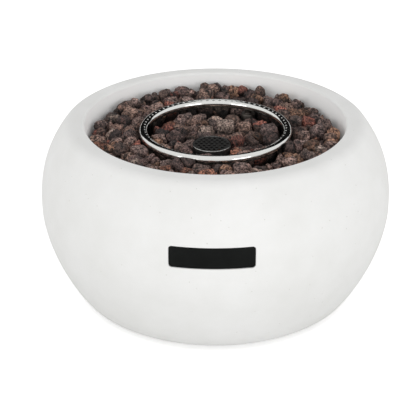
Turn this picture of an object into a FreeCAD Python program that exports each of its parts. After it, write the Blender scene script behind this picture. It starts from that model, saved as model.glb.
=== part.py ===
"""Tabletop gas fire pit: a round cast bowl with a ring burner, lava rock and rear gas controls.

Units are millimetres. The origin is on the table under the bowl's centre, +Z is up, -Y is the front
with the dark plate, and +Y is the rear with the control panel.
"""
import FreeCAD, Part

import math
import os
import random

# Bowl, cast in white fibre concrete
BOWL_DIAMETER = 470.0
BOWL_HEIGHT = 233.0
BASE_DIAMETER = 382.0
SHOULDER_DIAMETER = 392.0
MOUTH_DIAMETER = 346.0
WIDEST_HEIGHT = 117.5
LOWER_FULLNESS = 1.67
LOWER_EXPONENT = 0.91
SHOULDER_EXPONENT = 2.53
BOWL_WALL = 14.0
BASE_LIP_THICKNESS = 14.0
BASE_OPENING_DIAMETER = 290.0
BASE_ROUND = 5.0
RIM_OUTER_ROUND = 18.0
RIM_INNER_ROUND = 3.0
CAVITY_BELOW_RIM = 6.0
OUTLINE_TOLERANCE = 0.25

# Throat and ledge that carry the burner pan
THROAT_DIAMETER = 340.0
THROAT_WALL = 13.0
LEDGE_WIDTH = 14.0
LEDGE_THICKNESS = 14.0
PAN_DEPTH = 49.0

# Feet
FOOT_HEIGHT = 8.0
FOOT_DIAMETER = 26.0
FOOT_CIRCLE_DIAMETER = 334.0
FOOT_RECESS_DEPTH = 4.0
FOOT_TAPER = 1.5
FOOT_WELL_GAP = 1.0

# Base plate
BASE_PLATE_THICKNESS = 1.5
BASE_PLATE_OVERLAP = 8.0
BASE_PLATE_GAP = 0.5
BASE_VENT_COUNT = 10
BASE_VENT_LENGTH = 42.0
BASE_VENT_WIDTH = 7.0
BASE_VENT_CIRCLE_DIAMETER = 200.0
BASE_SCREW_COUNT = 4

# Burner pan, pressed from stainless sheet
PAN_SHEET = 1.2
PAN_LIP_HEIGHT = 10.0
PAN_SIDE_GAP = 0.8
PAN_DRAIN_COUNT = 8
PAN_DRAIN_DIAMETER = 5.0
PAN_DRAIN_CIRCLE_DIAMETER = 270.0
PAN_SCREW_COUNT = 4

# Ring burner, polished stainless tube
RING_DIAMETER = 192.0
RING_TUBE_DIAMETER = 12.0
RING_TUBE_WALL = 1.0
RING_BELOW_RIM = 17.0
PORT_COUNT = 68
PORT_WIDTH = 2.0
PORT_LEAN = -20.0
PORT_BAND = 3.4
LEG_COUNT = 3
LEG_DIAMETER = 8.0
LEG_FLANGE_DIAMETER = 14.0
LEG_FLANGE_THICKNESS = 1.5
LEG_SCREW_GRIP = 9.0
FEED_DIAMETER = 19.0
FEED_WALL = 1.2
FEED_BELOW_PAN = 26.0
FEED_GAP = 0.5
FEED_NECK_HEIGHT = 4.0
FEED_NUT_WIDTH = 24.0
FEED_NUT_THICKNESS = 4.0

# Flame guard over the spark electrode and the flame sensor
GUARD_X = -4.0
GUARD_Y = -36.0
GUARD_DIAMETER = 48.6
GUARD_SHEET = 0.8
GUARD_BELOW_RIM = 21.0
GUARD_LID_DIAMETER = 50.6
GUARD_LID_SKIRT = 4.0
GUARD_HOLE_WIDTH = 4.4
GUARD_HOLE_PITCH = 6.8
GUARD_HOLE_RINGS = 3
GUARD_SLOT_COUNT = 8
GUARD_SLOT_WIDTH = 4.0
GUARD_SLOT_HEIGHT = 9.0
GUARD_SLOT_ABOVE_PAN = 7.0
GUARD_TAB_COUNT = 3
GUARD_TAB_WIDTH = 9.0
GUARD_TAB_DROP = 4.0

# Spark electrode and flame sensor
PROBE_SPACING = 18.0
CERAMIC_DIAMETER = 7.0
CERAMIC_FLANGE_DIAMETER = 11.0
CERAMIC_FLANGE_THICKNESS = 2.0
CERAMIC_BELOW_PAN = 12.0
CERAMIC_ABOVE_PAN = 12.0
ELECTRODE_DIAMETER = 2.0
SPARK_GAP = 4.5
SENSOR_DIAMETER = 5.0
SENSOR_COLLAR_DIAMETER = 10.0
SENSOR_COLLAR_THICKNESS = 3.0
SENSOR_TIP_GAP = 8.0
ROD_BELOW_CERAMIC = 10.0
SENSOR_SHORTER = 4.0
LEAD_DIAMETER = 3.0
LEAD_BOOT_DIAMETER = 7.0
LEAD_BOOT_LENGTH = 14.0
LEAD_BOOT_ON_LEAD = 4.0
SENSOR_LEAD_DIAMETER = 2.0

# Lava rock, one layer of broken stones on the pan
STONE_PITCH = 25.0
STONE_GAP = 0.6
STONE_JITTER = 4.6
STONE_LEAN = 15.0
OUTER_STONE_DEPTH = 17.0
INNER_STONE_DEPTH = 24.0
STONE_TOP_SPREAD = 8.0
STONE_LEAST_DEPTH = 7.0
STONE_SEED = 11
STONE_CORNER_CUTS = 3
STONE_WAIST = 16.0
STONE_CLEARANCE = 1.0

# Front plate, black moulding set flush in the bowl
FRONT_PLATE_WIDTH = 103.0
FRONT_PLATE_HEIGHT = 26.0
FRONT_PLATE_THICKNESS = 2.5
FRONT_PLATE_CORNER = 3.5
FRONT_PLATE_BELOW_RIM = 83.0
FRONT_PLATE_SET_BACK = 0.8
FRONT_PLATE_GAP = 0.4
FRONT_PLATE_BED = 0.2

# Rear control panel in a deep recess
PANEL_WIDTH = 152.0
PANEL_HEIGHT = 70.0
PANEL_THICKNESS = 2.0
PANEL_CORNER = 6.0
PANEL_CENTRE_HEIGHT = 120.0
PANEL_RECESS_DEPTH = 24.0
PANEL_GAP = 0.5
PANEL_REBATE = 9.0
RECESS_WALL = 14.0
PANEL_SCREW_INSET = 4.5
PANEL_SCREW_GRIP = 8.0

# Gas valve, spindle and knob
VALVE_X = 44.0
VALVE_BARREL_DIAMETER = 25.0
VALVE_LENGTH = 44.0
VALVE_FLANGE_WIDTH = 38.0
VALVE_FLANGE_HEIGHT = 26.0
VALVE_FLANGE_THICKNESS = 6.0
VALVE_FLANGE_CORNER = 4.0
VALVE_SCREW_SPACING = 29.0
VALVE_NOSE_DIAMETER = 12.0
VALVE_NOSE_LENGTH = 14.0
PLUG_FRONT_DIAMETER = 14.0
PLUG_BACK_DIAMETER = 12.0
PLUG_LENGTH = 22.0
PLUG_PORT_DIAMETER = 5.0
TURNING_GAP = 0.3
STEM_DIAMETER = 6.0
STEM_FLAT = 1.5
STEM_COLLAR_DIAMETER = 13.0
STEM_COLLAR_THICKNESS = 2.0
STEM_TANG_WIDTH = 3.0
STEM_TANG_LENGTH = 10.0
SPRING_ROOM = 5.5
SPRING_WALL = 1.0
KNOB_DIAMETER = 42.0
KNOB_SKIRT = 4.0
KNOB_DEPTH = 16.0
KNOB_GRIP_DIAMETER = 36.0
KNOB_GRIP_WIDTH = 13.0
KNOB_RIM = 1.5
KNOB_SLOPE = 3.0
KNOB_EDGE = 2.0
POINTER_WIDTH = 1.6
POINTER_DEPTH = 0.6
POINTER_LENGTH = 12.0
POINTER_FROM_EDGE = 3.0
KNOB_TRAVEL = 3.0
KNOB_REST_GAP = 0.8
KNOB_SOCKET_DEPTH = 11.0
KNOB_HUB_DIAMETER = 20.0
KNOB_HOLLOW_DIAMETER = 37.6
SENSOR_PORT_DIAMETER = 10.0
SENSOR_PORT_LENGTH = 10.0
PORTS_FROM_REAR = 12.0
INLET_BOSS_LENGTH = 9.0
PANEL_STEM_GAP = 2.0

# Injector and mixing tube
INJECTOR_WIDTH = 10.0
INJECTOR_LENGTH = 9.0
INJECTOR_BORE = 1.6
INJECTOR_TIP_DIAMETER = 7.0
INJECTOR_HEX_LENGTH = 5.0
MIXER_DIAMETER = 22.0
MIXER_WALL = 1.2
MIXER_BEND_RADIUS = 22.0
MIXER_OVER_NOSE = 4.0
MIXER_IN_FEED = 12.0
AIR_WINDOW_LENGTH = 10.0
AIR_WINDOW_WIDTH = 10.0
AIR_WINDOW_SET_BACK = 4.0
SHUTTER_SPLIT = 2.0

# Spark igniter with its push button
IGNITER_X = 0.0
IGNITER_DIAMETER = 21.0
IGNITER_LENGTH = 50.0
IGNITER_COLLAR_DIAMETER = 27.0
IGNITER_COLLAR_THICKNESS = 2.5
IGNITER_NUT_DIAMETER = 29.0
IGNITER_NUT_THICKNESS = 4.0
IGNITER_TERMINAL_DIAMETER = 6.0
IGNITER_TERMINAL_LENGTH = 8.0
BUTTON_DIAMETER = 14.4
BUTTON_PROUD = 8.0
BUTTON_LENGTH = 18.0
BUTTON_TRAVEL = 6.0
BUTTON_CROWN = 1.6
BUTTON_SPRING_LEAST = 3.0

# Gas inlet, a standard male flare with a 5/8 inch thread
INLET_X = -47.0
INLET_THREAD_DIAMETER = 15.88
INLET_THREAD_LENGTH = 15.0
INLET_NOSE_DIAMETER = 11.0
INLET_BORE = 6.0
INLET_HEX_WIDTH = 21.0
INLET_HEX_THICKNESS = 5.0
INLET_BEHIND_PANEL = 15.0
INLET_NUT_THICKNESS = 5.0
GAS_TUBE_DIAMETER = 8.0
GAS_TUBE_WALL = 1.0
GAS_TUBE_RUN = 50.0
GAS_TUBE_DROP = 36.0
TUBE_SOCKET_DEPTH = 7.0
TUBE_NUT_WIDTH = 14.0
TUBE_NUT_LENGTH = 10.0

# Fasteners and fits
SCREW_DIAMETER = 4.0
SCREW_HEAD_DIAMETER = 7.6
SCREW_HEAD_HEIGHT = 2.4
HEX_HEAD_WIDTH = 7.0
SCREW_GAP = 0.3
HOLE_SPARE = 3.0
BLIND_HOLE_FLOOR = 2.0
BLIND_SCREW_FLOOR = 4.0
SEAT_GAP = 0.2
FIT_GAP = 0.1

# Levels and places worked out from the sizes above
SHELL_BOTTOM = FOOT_HEIGHT
SHELL_TOP = SHELL_BOTTOM + BOWL_HEIGHT
PAN_TOP = SHELL_TOP - PAN_DEPTH
PAN_UNDERSIDE = PAN_TOP - PAN_SHEET
RING_LEVEL = SHELL_TOP - RING_BELOW_RIM
RING_BOTTOM = RING_LEVEL - RING_TUBE_DIAMETER / 2
GUARD_TOP = SHELL_TOP - GUARD_BELOW_RIM
PANEL_FACE = BOWL_DIAMETER / 2 - PANEL_RECESS_DEPTH
PANEL_BACK = PANEL_FACE - PANEL_THICKNESS
PANEL_LEVEL = PANEL_CENTRE_HEIGHT
VALVE_REAR = PANEL_BACK - VALVE_LENGTH
NOSE_END = VALVE_REAR - VALVE_NOSE_LENGTH
INJECTOR_END = NOSE_END - INJECTOR_LENGTH
BUTTON_SPRING_ROOM = BUTTON_TRAVEL + BUTTON_SPRING_LEAST
FEED_Y = math.sqrt((RING_DIAMETER / 2) ** 2 - VALVE_X ** 2)
FEED_ANGLE = math.degrees(math.atan2(FEED_Y, VALVE_X))
FEED_BOTTOM = PAN_UNDERSIDE - FEED_BELOW_PAN
SPRING_REAR = PANEL_BACK - VALVE_FLANGE_THICKNESS - SPRING_ROOM - STEM_COLLAR_THICKNESS
PLUG_FRONT = SPRING_REAR - TURNING_GAP
KNOB_BACK = PANEL_FACE + KNOB_TRAVEL + KNOB_REST_GAP
ELECTRODE_X = GUARD_X - PROBE_SPACING / 2
SENSOR_X = GUARD_X + PROBE_SPACING / 2
ROD_END = PAN_UNDERSIDE - CERAMIC_BELOW_PAN - ROD_BELOW_CERAMIC
SENSOR_END = ROD_END + SENSOR_SHORTER

ORIGIN = FreeCAD.Vector(0, 0, 0)
UP = FreeCAD.Vector(0, 0, 1)
REARWARD = FreeCAD.Vector(0, 1, 0)
SIDEWAYS = FreeCAD.Vector(1, 0, 0)


def point(x, y, z):
    return FreeCAD.Vector(x, y, z)


def rod(diameter, start, direction, length):
    """A round bar from a start point along a direction."""
    return Part.makeCylinder(diameter / 2, length, start, direction)


def upright(diameter, x, y, low, high):
    return rod(diameter, point(x, y, low), UP, high - low)


def along_y(diameter, x, z, front, rear):
    return rod(diameter, point(x, front, z), REARWARD, rear - front)


def tube(outer, inner, start, direction, length):
    return rod(outer, start, direction, length).cut(rod(inner, start, direction, length))


def on_circle(diameter, angle):
    """X and Y of a place on a circle about the bowl's axis."""
    turn = math.radians(angle)
    return diameter / 2 * math.cos(turn), diameter / 2 * math.sin(turn)


def hex_prism(width, start, direction, length):
    """A hexagonal bar, width across its flats."""
    corner = width / math.sqrt(3)
    ring = []
    for step in range(7):
        turn = math.radians(60 * step)
        ring.append(point(corner * math.cos(turn), corner * math.sin(turn), 0))
    bar = Part.Face(Part.makePolygon(ring)).extrude(point(0, 0, length))
    bar.Placement = FreeCAD.Placement(start, FreeCAD.Rotation(UP, direction))
    return bar


def rounded_panel(width, height, corner, x, z, front, rear):
    """A block with rounded corners seen from the front, between two depths in Y."""
    block = Part.makeBox(width, rear - front, height, point(x - width / 2, front, z - height / 2))
    edges = [e for e in block.Edges if abs(e.tangentAt(e.FirstParameter).y) > 0.5]
    return block.makeFillet(corner, edges)


def turned(outline):
    """A solid of revolution about +Z from a closed list of (radius, height) corners."""
    corners = [point(r, 0, z) for r, z in outline]
    face = Part.Face(Part.makePolygon(corners + [corners[0]]))
    return face.revolve(ORIGIN, UP, 360)


def turned_on_y(outline, x, z):
    """A solid of revolution about a line along +Y, from (radius, y) corners."""
    corners = [point(x + r, y, z) for r, y in outline]
    face = Part.Face(Part.makePolygon(corners + [corners[0]]))
    return face.revolve(point(x, 0, z), REARWARD, 360)


def screw(head, direction, length):
    """A round-headed screw: the head's underside is at the point, the shank goes along direction."""
    back = head - direction * SCREW_HEAD_HEIGHT
    cap = rod(SCREW_HEAD_DIAMETER, back, direction, SCREW_HEAD_HEIGHT)
    return cap.fuse(rod(SCREW_DIAMETER, head, direction, length)).removeSplitter()


def hex_screw(head, direction, length):
    """A hexagon-headed screw for a hidden place, given like the round-headed one."""
    back = head - direction * SCREW_HEAD_HEIGHT
    cap = hex_prism(HEX_HEAD_WIDTH, back, direction, SCREW_HEAD_HEIGHT)
    return cap.fuse(rod(SCREW_DIAMETER, head, direction, length)).removeSplitter()


def bent_path(points):
    """Straight runs joined by tangent arcs, each as large as its two runs allow.

    Returns the wire, its length and its smallest bend radius.
    """
    edges = []
    length = 0.0
    smallest = None
    start = points[0]
    for before, corner, after in zip(points, points[1:], points[2:]):
        come = (corner - before).normalize()
        leave = (after - corner).normalize()
        turn = come.getAngle(leave)
        reach = 0.45 * min((corner - before).Length, (after - corner).Length)
        radius = reach / math.tan(turn / 2)
        first = corner - come * reach
        last = corner + leave * reach
        to_centre = (leave - come).normalize()
        middle = corner + to_centre * (radius / math.cos(turn / 2) - radius)
        edges.append(Part.LineSegment(start, first).toShape())
        edges.append(Part.Arc(first, middle, last).toShape())
        length += (first - start).Length + radius * turn
        smallest = radius if smallest is None else min(smallest, radius)
        start = last
    edges.append(Part.LineSegment(start, points[-1]).toShape())
    length += (points[-1] - start).Length
    return Part.Wire(edges), length, smallest


def bent_bar(points, diameter, name):
    """A round bar along a bent path; its volume is printed beside section times length."""
    wire, length, radius = bent_path(points)
    section = Part.Wire(Part.Circle(points[0], points[1] - points[0], diameter / 2).toShape())
    bar = wire.makePipeShell([section], True, False)
    expected = math.pi * diameter ** 2 / 4 * length
    print(f"{name}: length {length:.1f}, bend {radius:.1f}, volume ratio {bar.Volume / expected:.4f}")
    return bar


def bowl_radius(height):
    """Radius of the bowl's outside at a height above its underside.

    Below the widest level it is a superellipse quarter on the base, above it a power curve to
    the shoulder.
    """
    widest = BOWL_DIAMETER / 2
    if height < WIDEST_HEIGHT:
        down = 1 - height / WIDEST_HEIGHT
        swell = (1 - down ** LOWER_FULLNESS) ** LOWER_EXPONENT
        return BASE_DIAMETER / 2 + (widest - BASE_DIAMETER / 2) * swell
    climb = (height - WIDEST_HEIGHT) / (BOWL_HEIGHT - WIDEST_HEIGHT)
    return widest - (widest - SHOULDER_DIAMETER / 2) * climb ** SHOULDER_EXPONENT


def side_point(inset, height):
    """A point on the bowl's side, moved in by an inset square to the surface."""
    nudge = 0.5
    below = max(height - nudge, 0)
    above = min(height + nudge, BOWL_HEIGHT)
    slope = (bowl_radius(above) - bowl_radius(below)) / (above - below)
    size = math.sqrt(1 + slope ** 2)
    radius = bowl_radius(height) - inset / size
    return point(radius, 0, SHELL_BOTTOM + height + inset * slope / size)


def bowl_side(inset, low, high, count=11):
    return [side_point(inset, low + (high - low) * step / (count - 1)) for step in range(count)]


def rolled_height(ball, level):
    """Height on the side where a ball that also touches a flat level rests against it.

    The ball's centre lies one radius from the side and one from the level, found by halving.
    """
    low, high = 0.0, BOWL_HEIGHT
    for _ in range(50):
        middle = (low + high) / 2
        if side_point(ball, middle).z < level:
            low = middle
        else:
            high = middle
    return (low + high) / 2


def corner_arc(ball, height, flat_level):
    """The rounded corner between the bowl's side at a height and a flat above or below it."""
    on_side = side_point(0, height)
    centre = side_point(ball, height)
    on_flat = point(centre.x, 0, flat_level)
    outward = (on_side - centre + on_flat - centre).normalize()
    return Part.Arc(on_side, centre + outward * ball, on_flat).toShape(), on_side, on_flat


def line(a, b):
    """A straight edge between two points."""
    return Part.LineSegment(a, b).toShape()


def smooth_edges(points):
    """Tangent arcs that follow a row of points within a set distance."""
    curve = Part.BSplineCurve()
    curve.interpolate(points)
    return [arc.toShape() for arc in curve.toBiArcs(OUTLINE_TOLERANCE)]


def straight_edges(points):
    return [line(a, b) for a, b in zip(points, points[1:]) if (a - b).Length > 1e-6]


def bowl_body(inset):
    """The bowl's outside as one plain solid, with its side moved in by an inset."""
    side = bowl_side(inset, 0, BOWL_HEIGHT)
    top = point(0, 0, side[-1].z)
    bottom = point(0, 0, side[0].z)
    edges = straight_edges([side[-1], top, bottom, side[0]]) + smooth_edges(side)
    return Part.Face(Part.Wire(Part.__sortEdges__(edges))).revolve(ORIGIN, UP, 360)


def cast_form():
    """The moulded bowl: thin side wall, rolled rim, throat, pan ledge and base lip."""
    rim_height = rolled_height(RIM_OUTER_ROUND, SHELL_TOP - RIM_OUTER_ROUND)
    base_height = rolled_height(BASE_ROUND, SHELL_BOTTOM + BASE_ROUND)
    rim_arc, rim_side, rim_flat = corner_arc(RIM_OUTER_ROUND, rim_height, SHELL_TOP)
    base_arc, base_side, base_flat = corner_arc(BASE_ROUND, base_height, SHELL_BOTTOM)
    outside = bowl_side(0, base_height, rim_height)
    cavity_top = BOWL_HEIGHT - CAVITY_BELOW_RIM
    inside = bowl_side(BOWL_WALL, BASE_LIP_THICKNESS, cavity_top, 7)
    inside = [p for p in inside if p.x > THROAT_DIAMETER / 2 + THROAT_WALL + 1]
    collar = THROAT_DIAMETER / 2 + THROAT_WALL
    ledge_edge = THROAT_DIAMETER / 2 - LEDGE_WIDTH
    ledge_low = PAN_UNDERSIDE - LEDGE_THICKNESS
    lip_top = SHELL_BOTTOM + BASE_LIP_THICKNESS
    corners = [
        point(inside[-1].x, 0, inside[-1].z),
        point(collar, 0, inside[-1].z),
        point(collar, 0, ledge_low + LEDGE_THICKNESS / 2),
        point(collar - THROAT_WALL / 2, 0, ledge_low),
        point(ledge_edge, 0, ledge_low),
        point(ledge_edge, 0, PAN_UNDERSIDE),
        point(THROAT_DIAMETER / 2, 0, PAN_UNDERSIDE),
        point(MOUTH_DIAMETER / 2, 0, SHELL_TOP - RIM_INNER_ROUND),
        point(MOUTH_DIAMETER / 2 + RIM_INNER_ROUND, 0, SHELL_TOP),
        rim_flat,
    ]
    floor = [
        base_flat,
        point(BASE_OPENING_DIAMETER / 2, 0, SHELL_BOTTOM),
        point(BASE_OPENING_DIAMETER / 2, 0, lip_top),
        point(inside[0].x, 0, lip_top),
        inside[0],
    ]
    lip_middle = point(
        MOUTH_DIAMETER / 2 + RIM_INNER_ROUND * (1 - math.sqrt(0.5)), 0,
        SHELL_TOP - RIM_INNER_ROUND * (1 - math.sqrt(0.5)))
    lip_arc = Part.Arc(corners[-3], lip_middle, corners[-2]).toShape()
    edges = smooth_edges(outside) + straight_edges(inside) + [rim_arc, base_arc, lip_arc]
    edges += straight_edges(corners[:-2]) + straight_edges(corners[-2:]) + straight_edges(floor)
    return Part.Face(Part.Wire(Part.__sortEdges__(edges))).revolve(ORIGIN, UP, 360)


def circle_edges(shape, radius, level):
    """The edges of a shape that lie flat at a level and reach out to a radius."""
    found = []
    for edge in shape.Edges:
        middle = edge.BoundBox
        flat = abs(middle.ZMin - level) < 0.01 and abs(middle.ZMax - level) < 0.01
        if flat and abs(middle.XMax - radius) < 0.2:
            found.append(edge)
    return found


def ledge_screw_places():
    circle = THROAT_DIAMETER - LEDGE_WIDTH
    return [on_circle(circle, 45 + 360 * n / PAN_SCREW_COUNT) for n in range(PAN_SCREW_COUNT)]


def foot_places():
    return [on_circle(FOOT_CIRCLE_DIAMETER, 45 + 90 * n) for n in range(4)]


def base_screw_places():
    circle = BASE_OPENING_DIAMETER + BASE_PLATE_OVERLAP
    return [on_circle(circle, 360 * n / BASE_SCREW_COUNT) for n in range(BASE_SCREW_COUNT)]


def panel_screw_places():
    """X and Z of the four panel screws."""
    places = []
    for side in (-1, 1):
        for rise in (-1, 1):
            x = side * (PANEL_WIDTH / 2 - PANEL_SCREW_INSET)
            z = PANEL_LEVEL + rise * (PANEL_HEIGHT / 2 - PANEL_SCREW_INSET)
            places.append((x, z))
    return places


def bowl_shell():
    """The cast bowl with its rear recess, front pocket and fixing holes."""
    outline = bowl_body(0)
    room_width = PANEL_WIDTH + 2 * PANEL_GAP
    room_height = PANEL_HEIGHT + 2 * PANEL_GAP
    far = BOWL_DIAMETER / 2 + 10
    block_front = PANEL_BACK - RECESS_WALL
    block = rounded_panel(
        room_width + 2 * RECESS_WALL, room_height + 2 * RECESS_WALL, PANEL_CORNER + RECESS_WALL,
        0, PANEL_LEVEL, block_front, far)
    shell = cast_form().fuse(block.common(outline))
    shell = shell.cut(rounded_panel(
        room_width, room_height, PANEL_CORNER + PANEL_GAP, 0, PANEL_LEVEL, PANEL_BACK, far))
    shell = shell.cut(rounded_panel(
        PANEL_WIDTH - 2 * PANEL_REBATE, PANEL_HEIGHT - 2 * PANEL_REBATE, PANEL_CORNER,
        0, PANEL_LEVEL, block_front - 1, PANEL_BACK + 1))
    pocket = rounded_panel(
        FRONT_PLATE_WIDTH + 2 * FRONT_PLATE_GAP, FRONT_PLATE_HEIGHT + 2 * FRONT_PLATE_GAP,
        FRONT_PLATE_CORNER + FRONT_PLATE_GAP, 0, SHELL_TOP - FRONT_PLATE_BELOW_RIM, -far, 0)
    bed = bowl_body(FRONT_PLATE_SET_BACK + FRONT_PLATE_THICKNESS + FRONT_PLATE_BED)
    shell = shell.cut(pocket.cut(bed))
    shell = shell.cut(rod(
        BASE_OPENING_DIAMETER + 2 * BASE_PLATE_OVERLAP + 2 * BASE_PLATE_GAP,
        point(0, 0, SHELL_BOTTOM - 1), UP, 1 + BASE_PLATE_THICKNESS + SEAT_GAP))
    hole = SCREW_DIAMETER + 2 * SCREW_GAP
    holes = []
    for x, y in ledge_screw_places():
        holes.append(upright(
            hole, x, y, PAN_UNDERSIDE - LEDGE_THICKNESS + BLIND_HOLE_FLOOR, PAN_UNDERSIDE + 1))
    for x, y in foot_places() + base_screw_places():
        holes.append(upright(
            hole, x, y, SHELL_BOTTOM - 1, SHELL_BOTTOM + BASE_LIP_THICKNESS - BLIND_HOLE_FLOOR))
    for x, z in panel_screw_places():
        holes.append(along_y(hole, x, z, PANEL_BACK - PANEL_SCREW_GRIP - HOLE_SPARE, PANEL_BACK + 1))
    return shell.cut(Part.makeCompound(holes))


def front_plate():
    """The thin black plate that follows the bowl's curve in its pocket."""
    outer = bowl_body(FRONT_PLATE_SET_BACK)
    inner = bowl_body(FRONT_PLATE_SET_BACK + FRONT_PLATE_THICKNESS)
    block = rounded_panel(
        FRONT_PLATE_WIDTH, FRONT_PLATE_HEIGHT, FRONT_PLATE_CORNER,
        0, SHELL_TOP - FRONT_PLATE_BELOW_RIM, -BOWL_DIAMETER / 2 - 10, 0)
    return block.common(outer).cut(inner)


def rubber_foot(x, y):
    """A round rubber foot with a tapered side and a well for its screw."""
    radius = FOOT_DIAMETER / 2
    foot = Part.makeCone(radius - FOOT_TAPER, radius, FOOT_HEIGHT, point(x, y, 0), UP)
    well = upright(SCREW_HEAD_DIAMETER + 2 * FOOT_WELL_GAP, x, y, -1, FOOT_RECESS_DEPTH)
    hole = upright(SCREW_DIAMETER + 2 * SCREW_GAP, x, y, -1, FOOT_HEIGHT + 1)
    return foot.cut(well).cut(hole)


def foot_screws():
    length = FOOT_HEIGHT - FOOT_RECESS_DEPTH + BASE_LIP_THICKNESS - BLIND_SCREW_FLOOR
    return [screw(point(x, y, FOOT_RECESS_DEPTH), UP, length) for x, y in foot_places()]


def base_plate():
    """The vented steel disc that closes the bowl from below."""
    low = SHELL_BOTTOM
    diameter = BASE_OPENING_DIAMETER + 2 * BASE_PLATE_OVERLAP
    plate = upright(diameter, 0, 0, low, low + BASE_PLATE_THICKNESS)
    cuts = []
    for n in range(BASE_VENT_COUNT):
        angle = 360 * (n + 0.5) / BASE_VENT_COUNT
        slot = Part.makeBox(
            BASE_VENT_LENGTH, BASE_VENT_WIDTH, BASE_PLATE_THICKNESS + 2,
            point((BASE_VENT_CIRCLE_DIAMETER - BASE_VENT_LENGTH) / 2, -BASE_VENT_WIDTH / 2, low - 1))
        slot.rotate(ORIGIN, UP, angle)
        cuts.append(slot)
    for x, y in base_screw_places():
        cuts.append(upright(
            SCREW_DIAMETER + 2 * SCREW_GAP, x, y, low - 1, low + BASE_PLATE_THICKNESS + 1))
    return plate.cut(Part.makeCompound(cuts))


def base_screws():
    length = BASE_LIP_THICKNESS - BLIND_SCREW_FLOOR
    return [hex_screw(point(x, y, SHELL_BOTTOM), UP, length) for x, y in base_screw_places()]


def leg_angles():
    step = 360 / (LEG_COUNT + 1)
    return [FEED_ANGLE + step * (n + 1) for n in range(LEG_COUNT)]


def countersink(x, y):
    """The cone that a flush screw head fills in the pan."""
    return Part.makeCone(
        SCREW_DIAMETER / 2, SCREW_HEAD_DIAMETER / 2, PAN_SHEET, point(x, y, PAN_UNDERSIDE), UP)


def burner_pan():
    """The round tray that the stones, the ring and the guard stand on."""
    outer = THROAT_DIAMETER / 2 - PAN_SIDE_GAP
    inner = outer - PAN_SHEET
    tray = turned([
        (0, PAN_UNDERSIDE), (outer, PAN_UNDERSIDE), (outer, PAN_UNDERSIDE + PAN_LIP_HEIGHT),
        (inner, PAN_UNDERSIDE + PAN_LIP_HEIGHT), (inner, PAN_TOP), (0, PAN_TOP)])
    low = PAN_UNDERSIDE - 1
    high = PAN_TOP + 1
    hole = SCREW_DIAMETER + 2 * SCREW_GAP
    cuts = [upright(FEED_DIAMETER + 2 * FEED_GAP, VALVE_X, FEED_Y, low, high)]
    cuts.append(upright(CERAMIC_DIAMETER + 2 * SCREW_GAP, ELECTRODE_X, GUARD_Y, low, high))
    cuts.append(upright(SENSOR_DIAMETER + 2 * SCREW_GAP, SENSOR_X, GUARD_Y, low, high))
    for angle in leg_angles():
        x, y = on_circle(RING_DIAMETER, angle)
        cuts.append(upright(hole, x, y, low, high))
    for n in range(PAN_DRAIN_COUNT):
        x, y = on_circle(PAN_DRAIN_CIRCLE_DIAMETER, 360 * (n + 0.5) / PAN_DRAIN_COUNT)
        cuts.append(upright(PAN_DRAIN_DIAMETER, x, y, low, high))
    for x, y in ledge_screw_places():
        cuts.append(upright(SCREW_DIAMETER, x, y, low, high).fuse(countersink(x, y)))
    for n in range(GUARD_TAB_COUNT):
        cuts.append(guard_tab(n, SEAT_GAP))
    return tray.cut(Part.makeCompound(cuts))


def pan_screws():
    """Flush screws that hold the pan down on the ledge."""
    screws = []
    for x, y in ledge_screw_places():
        head = countersink(x, y)
        low = PAN_UNDERSIDE - LEDGE_THICKNESS + BLIND_SCREW_FLOOR
        shank = upright(SCREW_DIAMETER, x, y, low, PAN_TOP)
        screws.append(head.fuse(shank).removeSplitter())
    return screws


def ring_port(angle):
    """A gas port, a short hexagonal hole in the flat band, which leans in from the ring's top."""
    lean = math.radians(PORT_LEAN)
    drilled = point(math.sin(lean), 0, math.cos(lean))
    centre = point(RING_DIAMETER / 2, 0, RING_LEVEL)
    start = centre + drilled * (RING_TUBE_DIAMETER / 2 - RING_TUBE_WALL * 2)
    hole = hex_prism(PORT_WIDTH, start, drilled, RING_TUBE_WALL * 3)
    hole.rotate(ORIGIN, UP, angle)
    return hole


def tube_section(radius, angle):
    """A place on the ring tube's section, its angle counted up from the outward side."""
    turn = math.radians(angle)
    return point(RING_DIAMETER / 2 + radius * math.cos(turn), 0, RING_LEVEL + radius * math.sin(turn))


def ring_skin_and_bore():
    """The ring tube without its bore, round with a flat band for the ports, and its eight-sided bore."""
    radius = RING_TUBE_DIAMETER / 2
    lean = 90 - PORT_LEAN
    half = math.degrees(math.asin(PORT_BAND / 2 / radius))
    first = tube_section(radius, lean + half)
    last = tube_section(radius, lean - half)
    skin = Part.Wire([
        Part.Arc(first, tube_section(radius, lean + 90), tube_section(radius, lean + 180)).toShape(),
        Part.Arc(tube_section(radius, lean + 180), tube_section(radius, lean + 270), last).toShape(),
        line(last, first)])
    corner = (radius * math.cos(math.radians(half)) - RING_TUBE_WALL) / math.cos(math.pi / 8)
    ring = [tube_section(corner, lean + 22.5 + 45 * n) for n in range(8)]
    bore = Part.makePolygon(ring + [ring[0]])
    return Part.Face(skin).revolve(ORIGIN, UP, 360), Part.Face(bore).revolve(ORIGIN, UP, 360)


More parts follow.
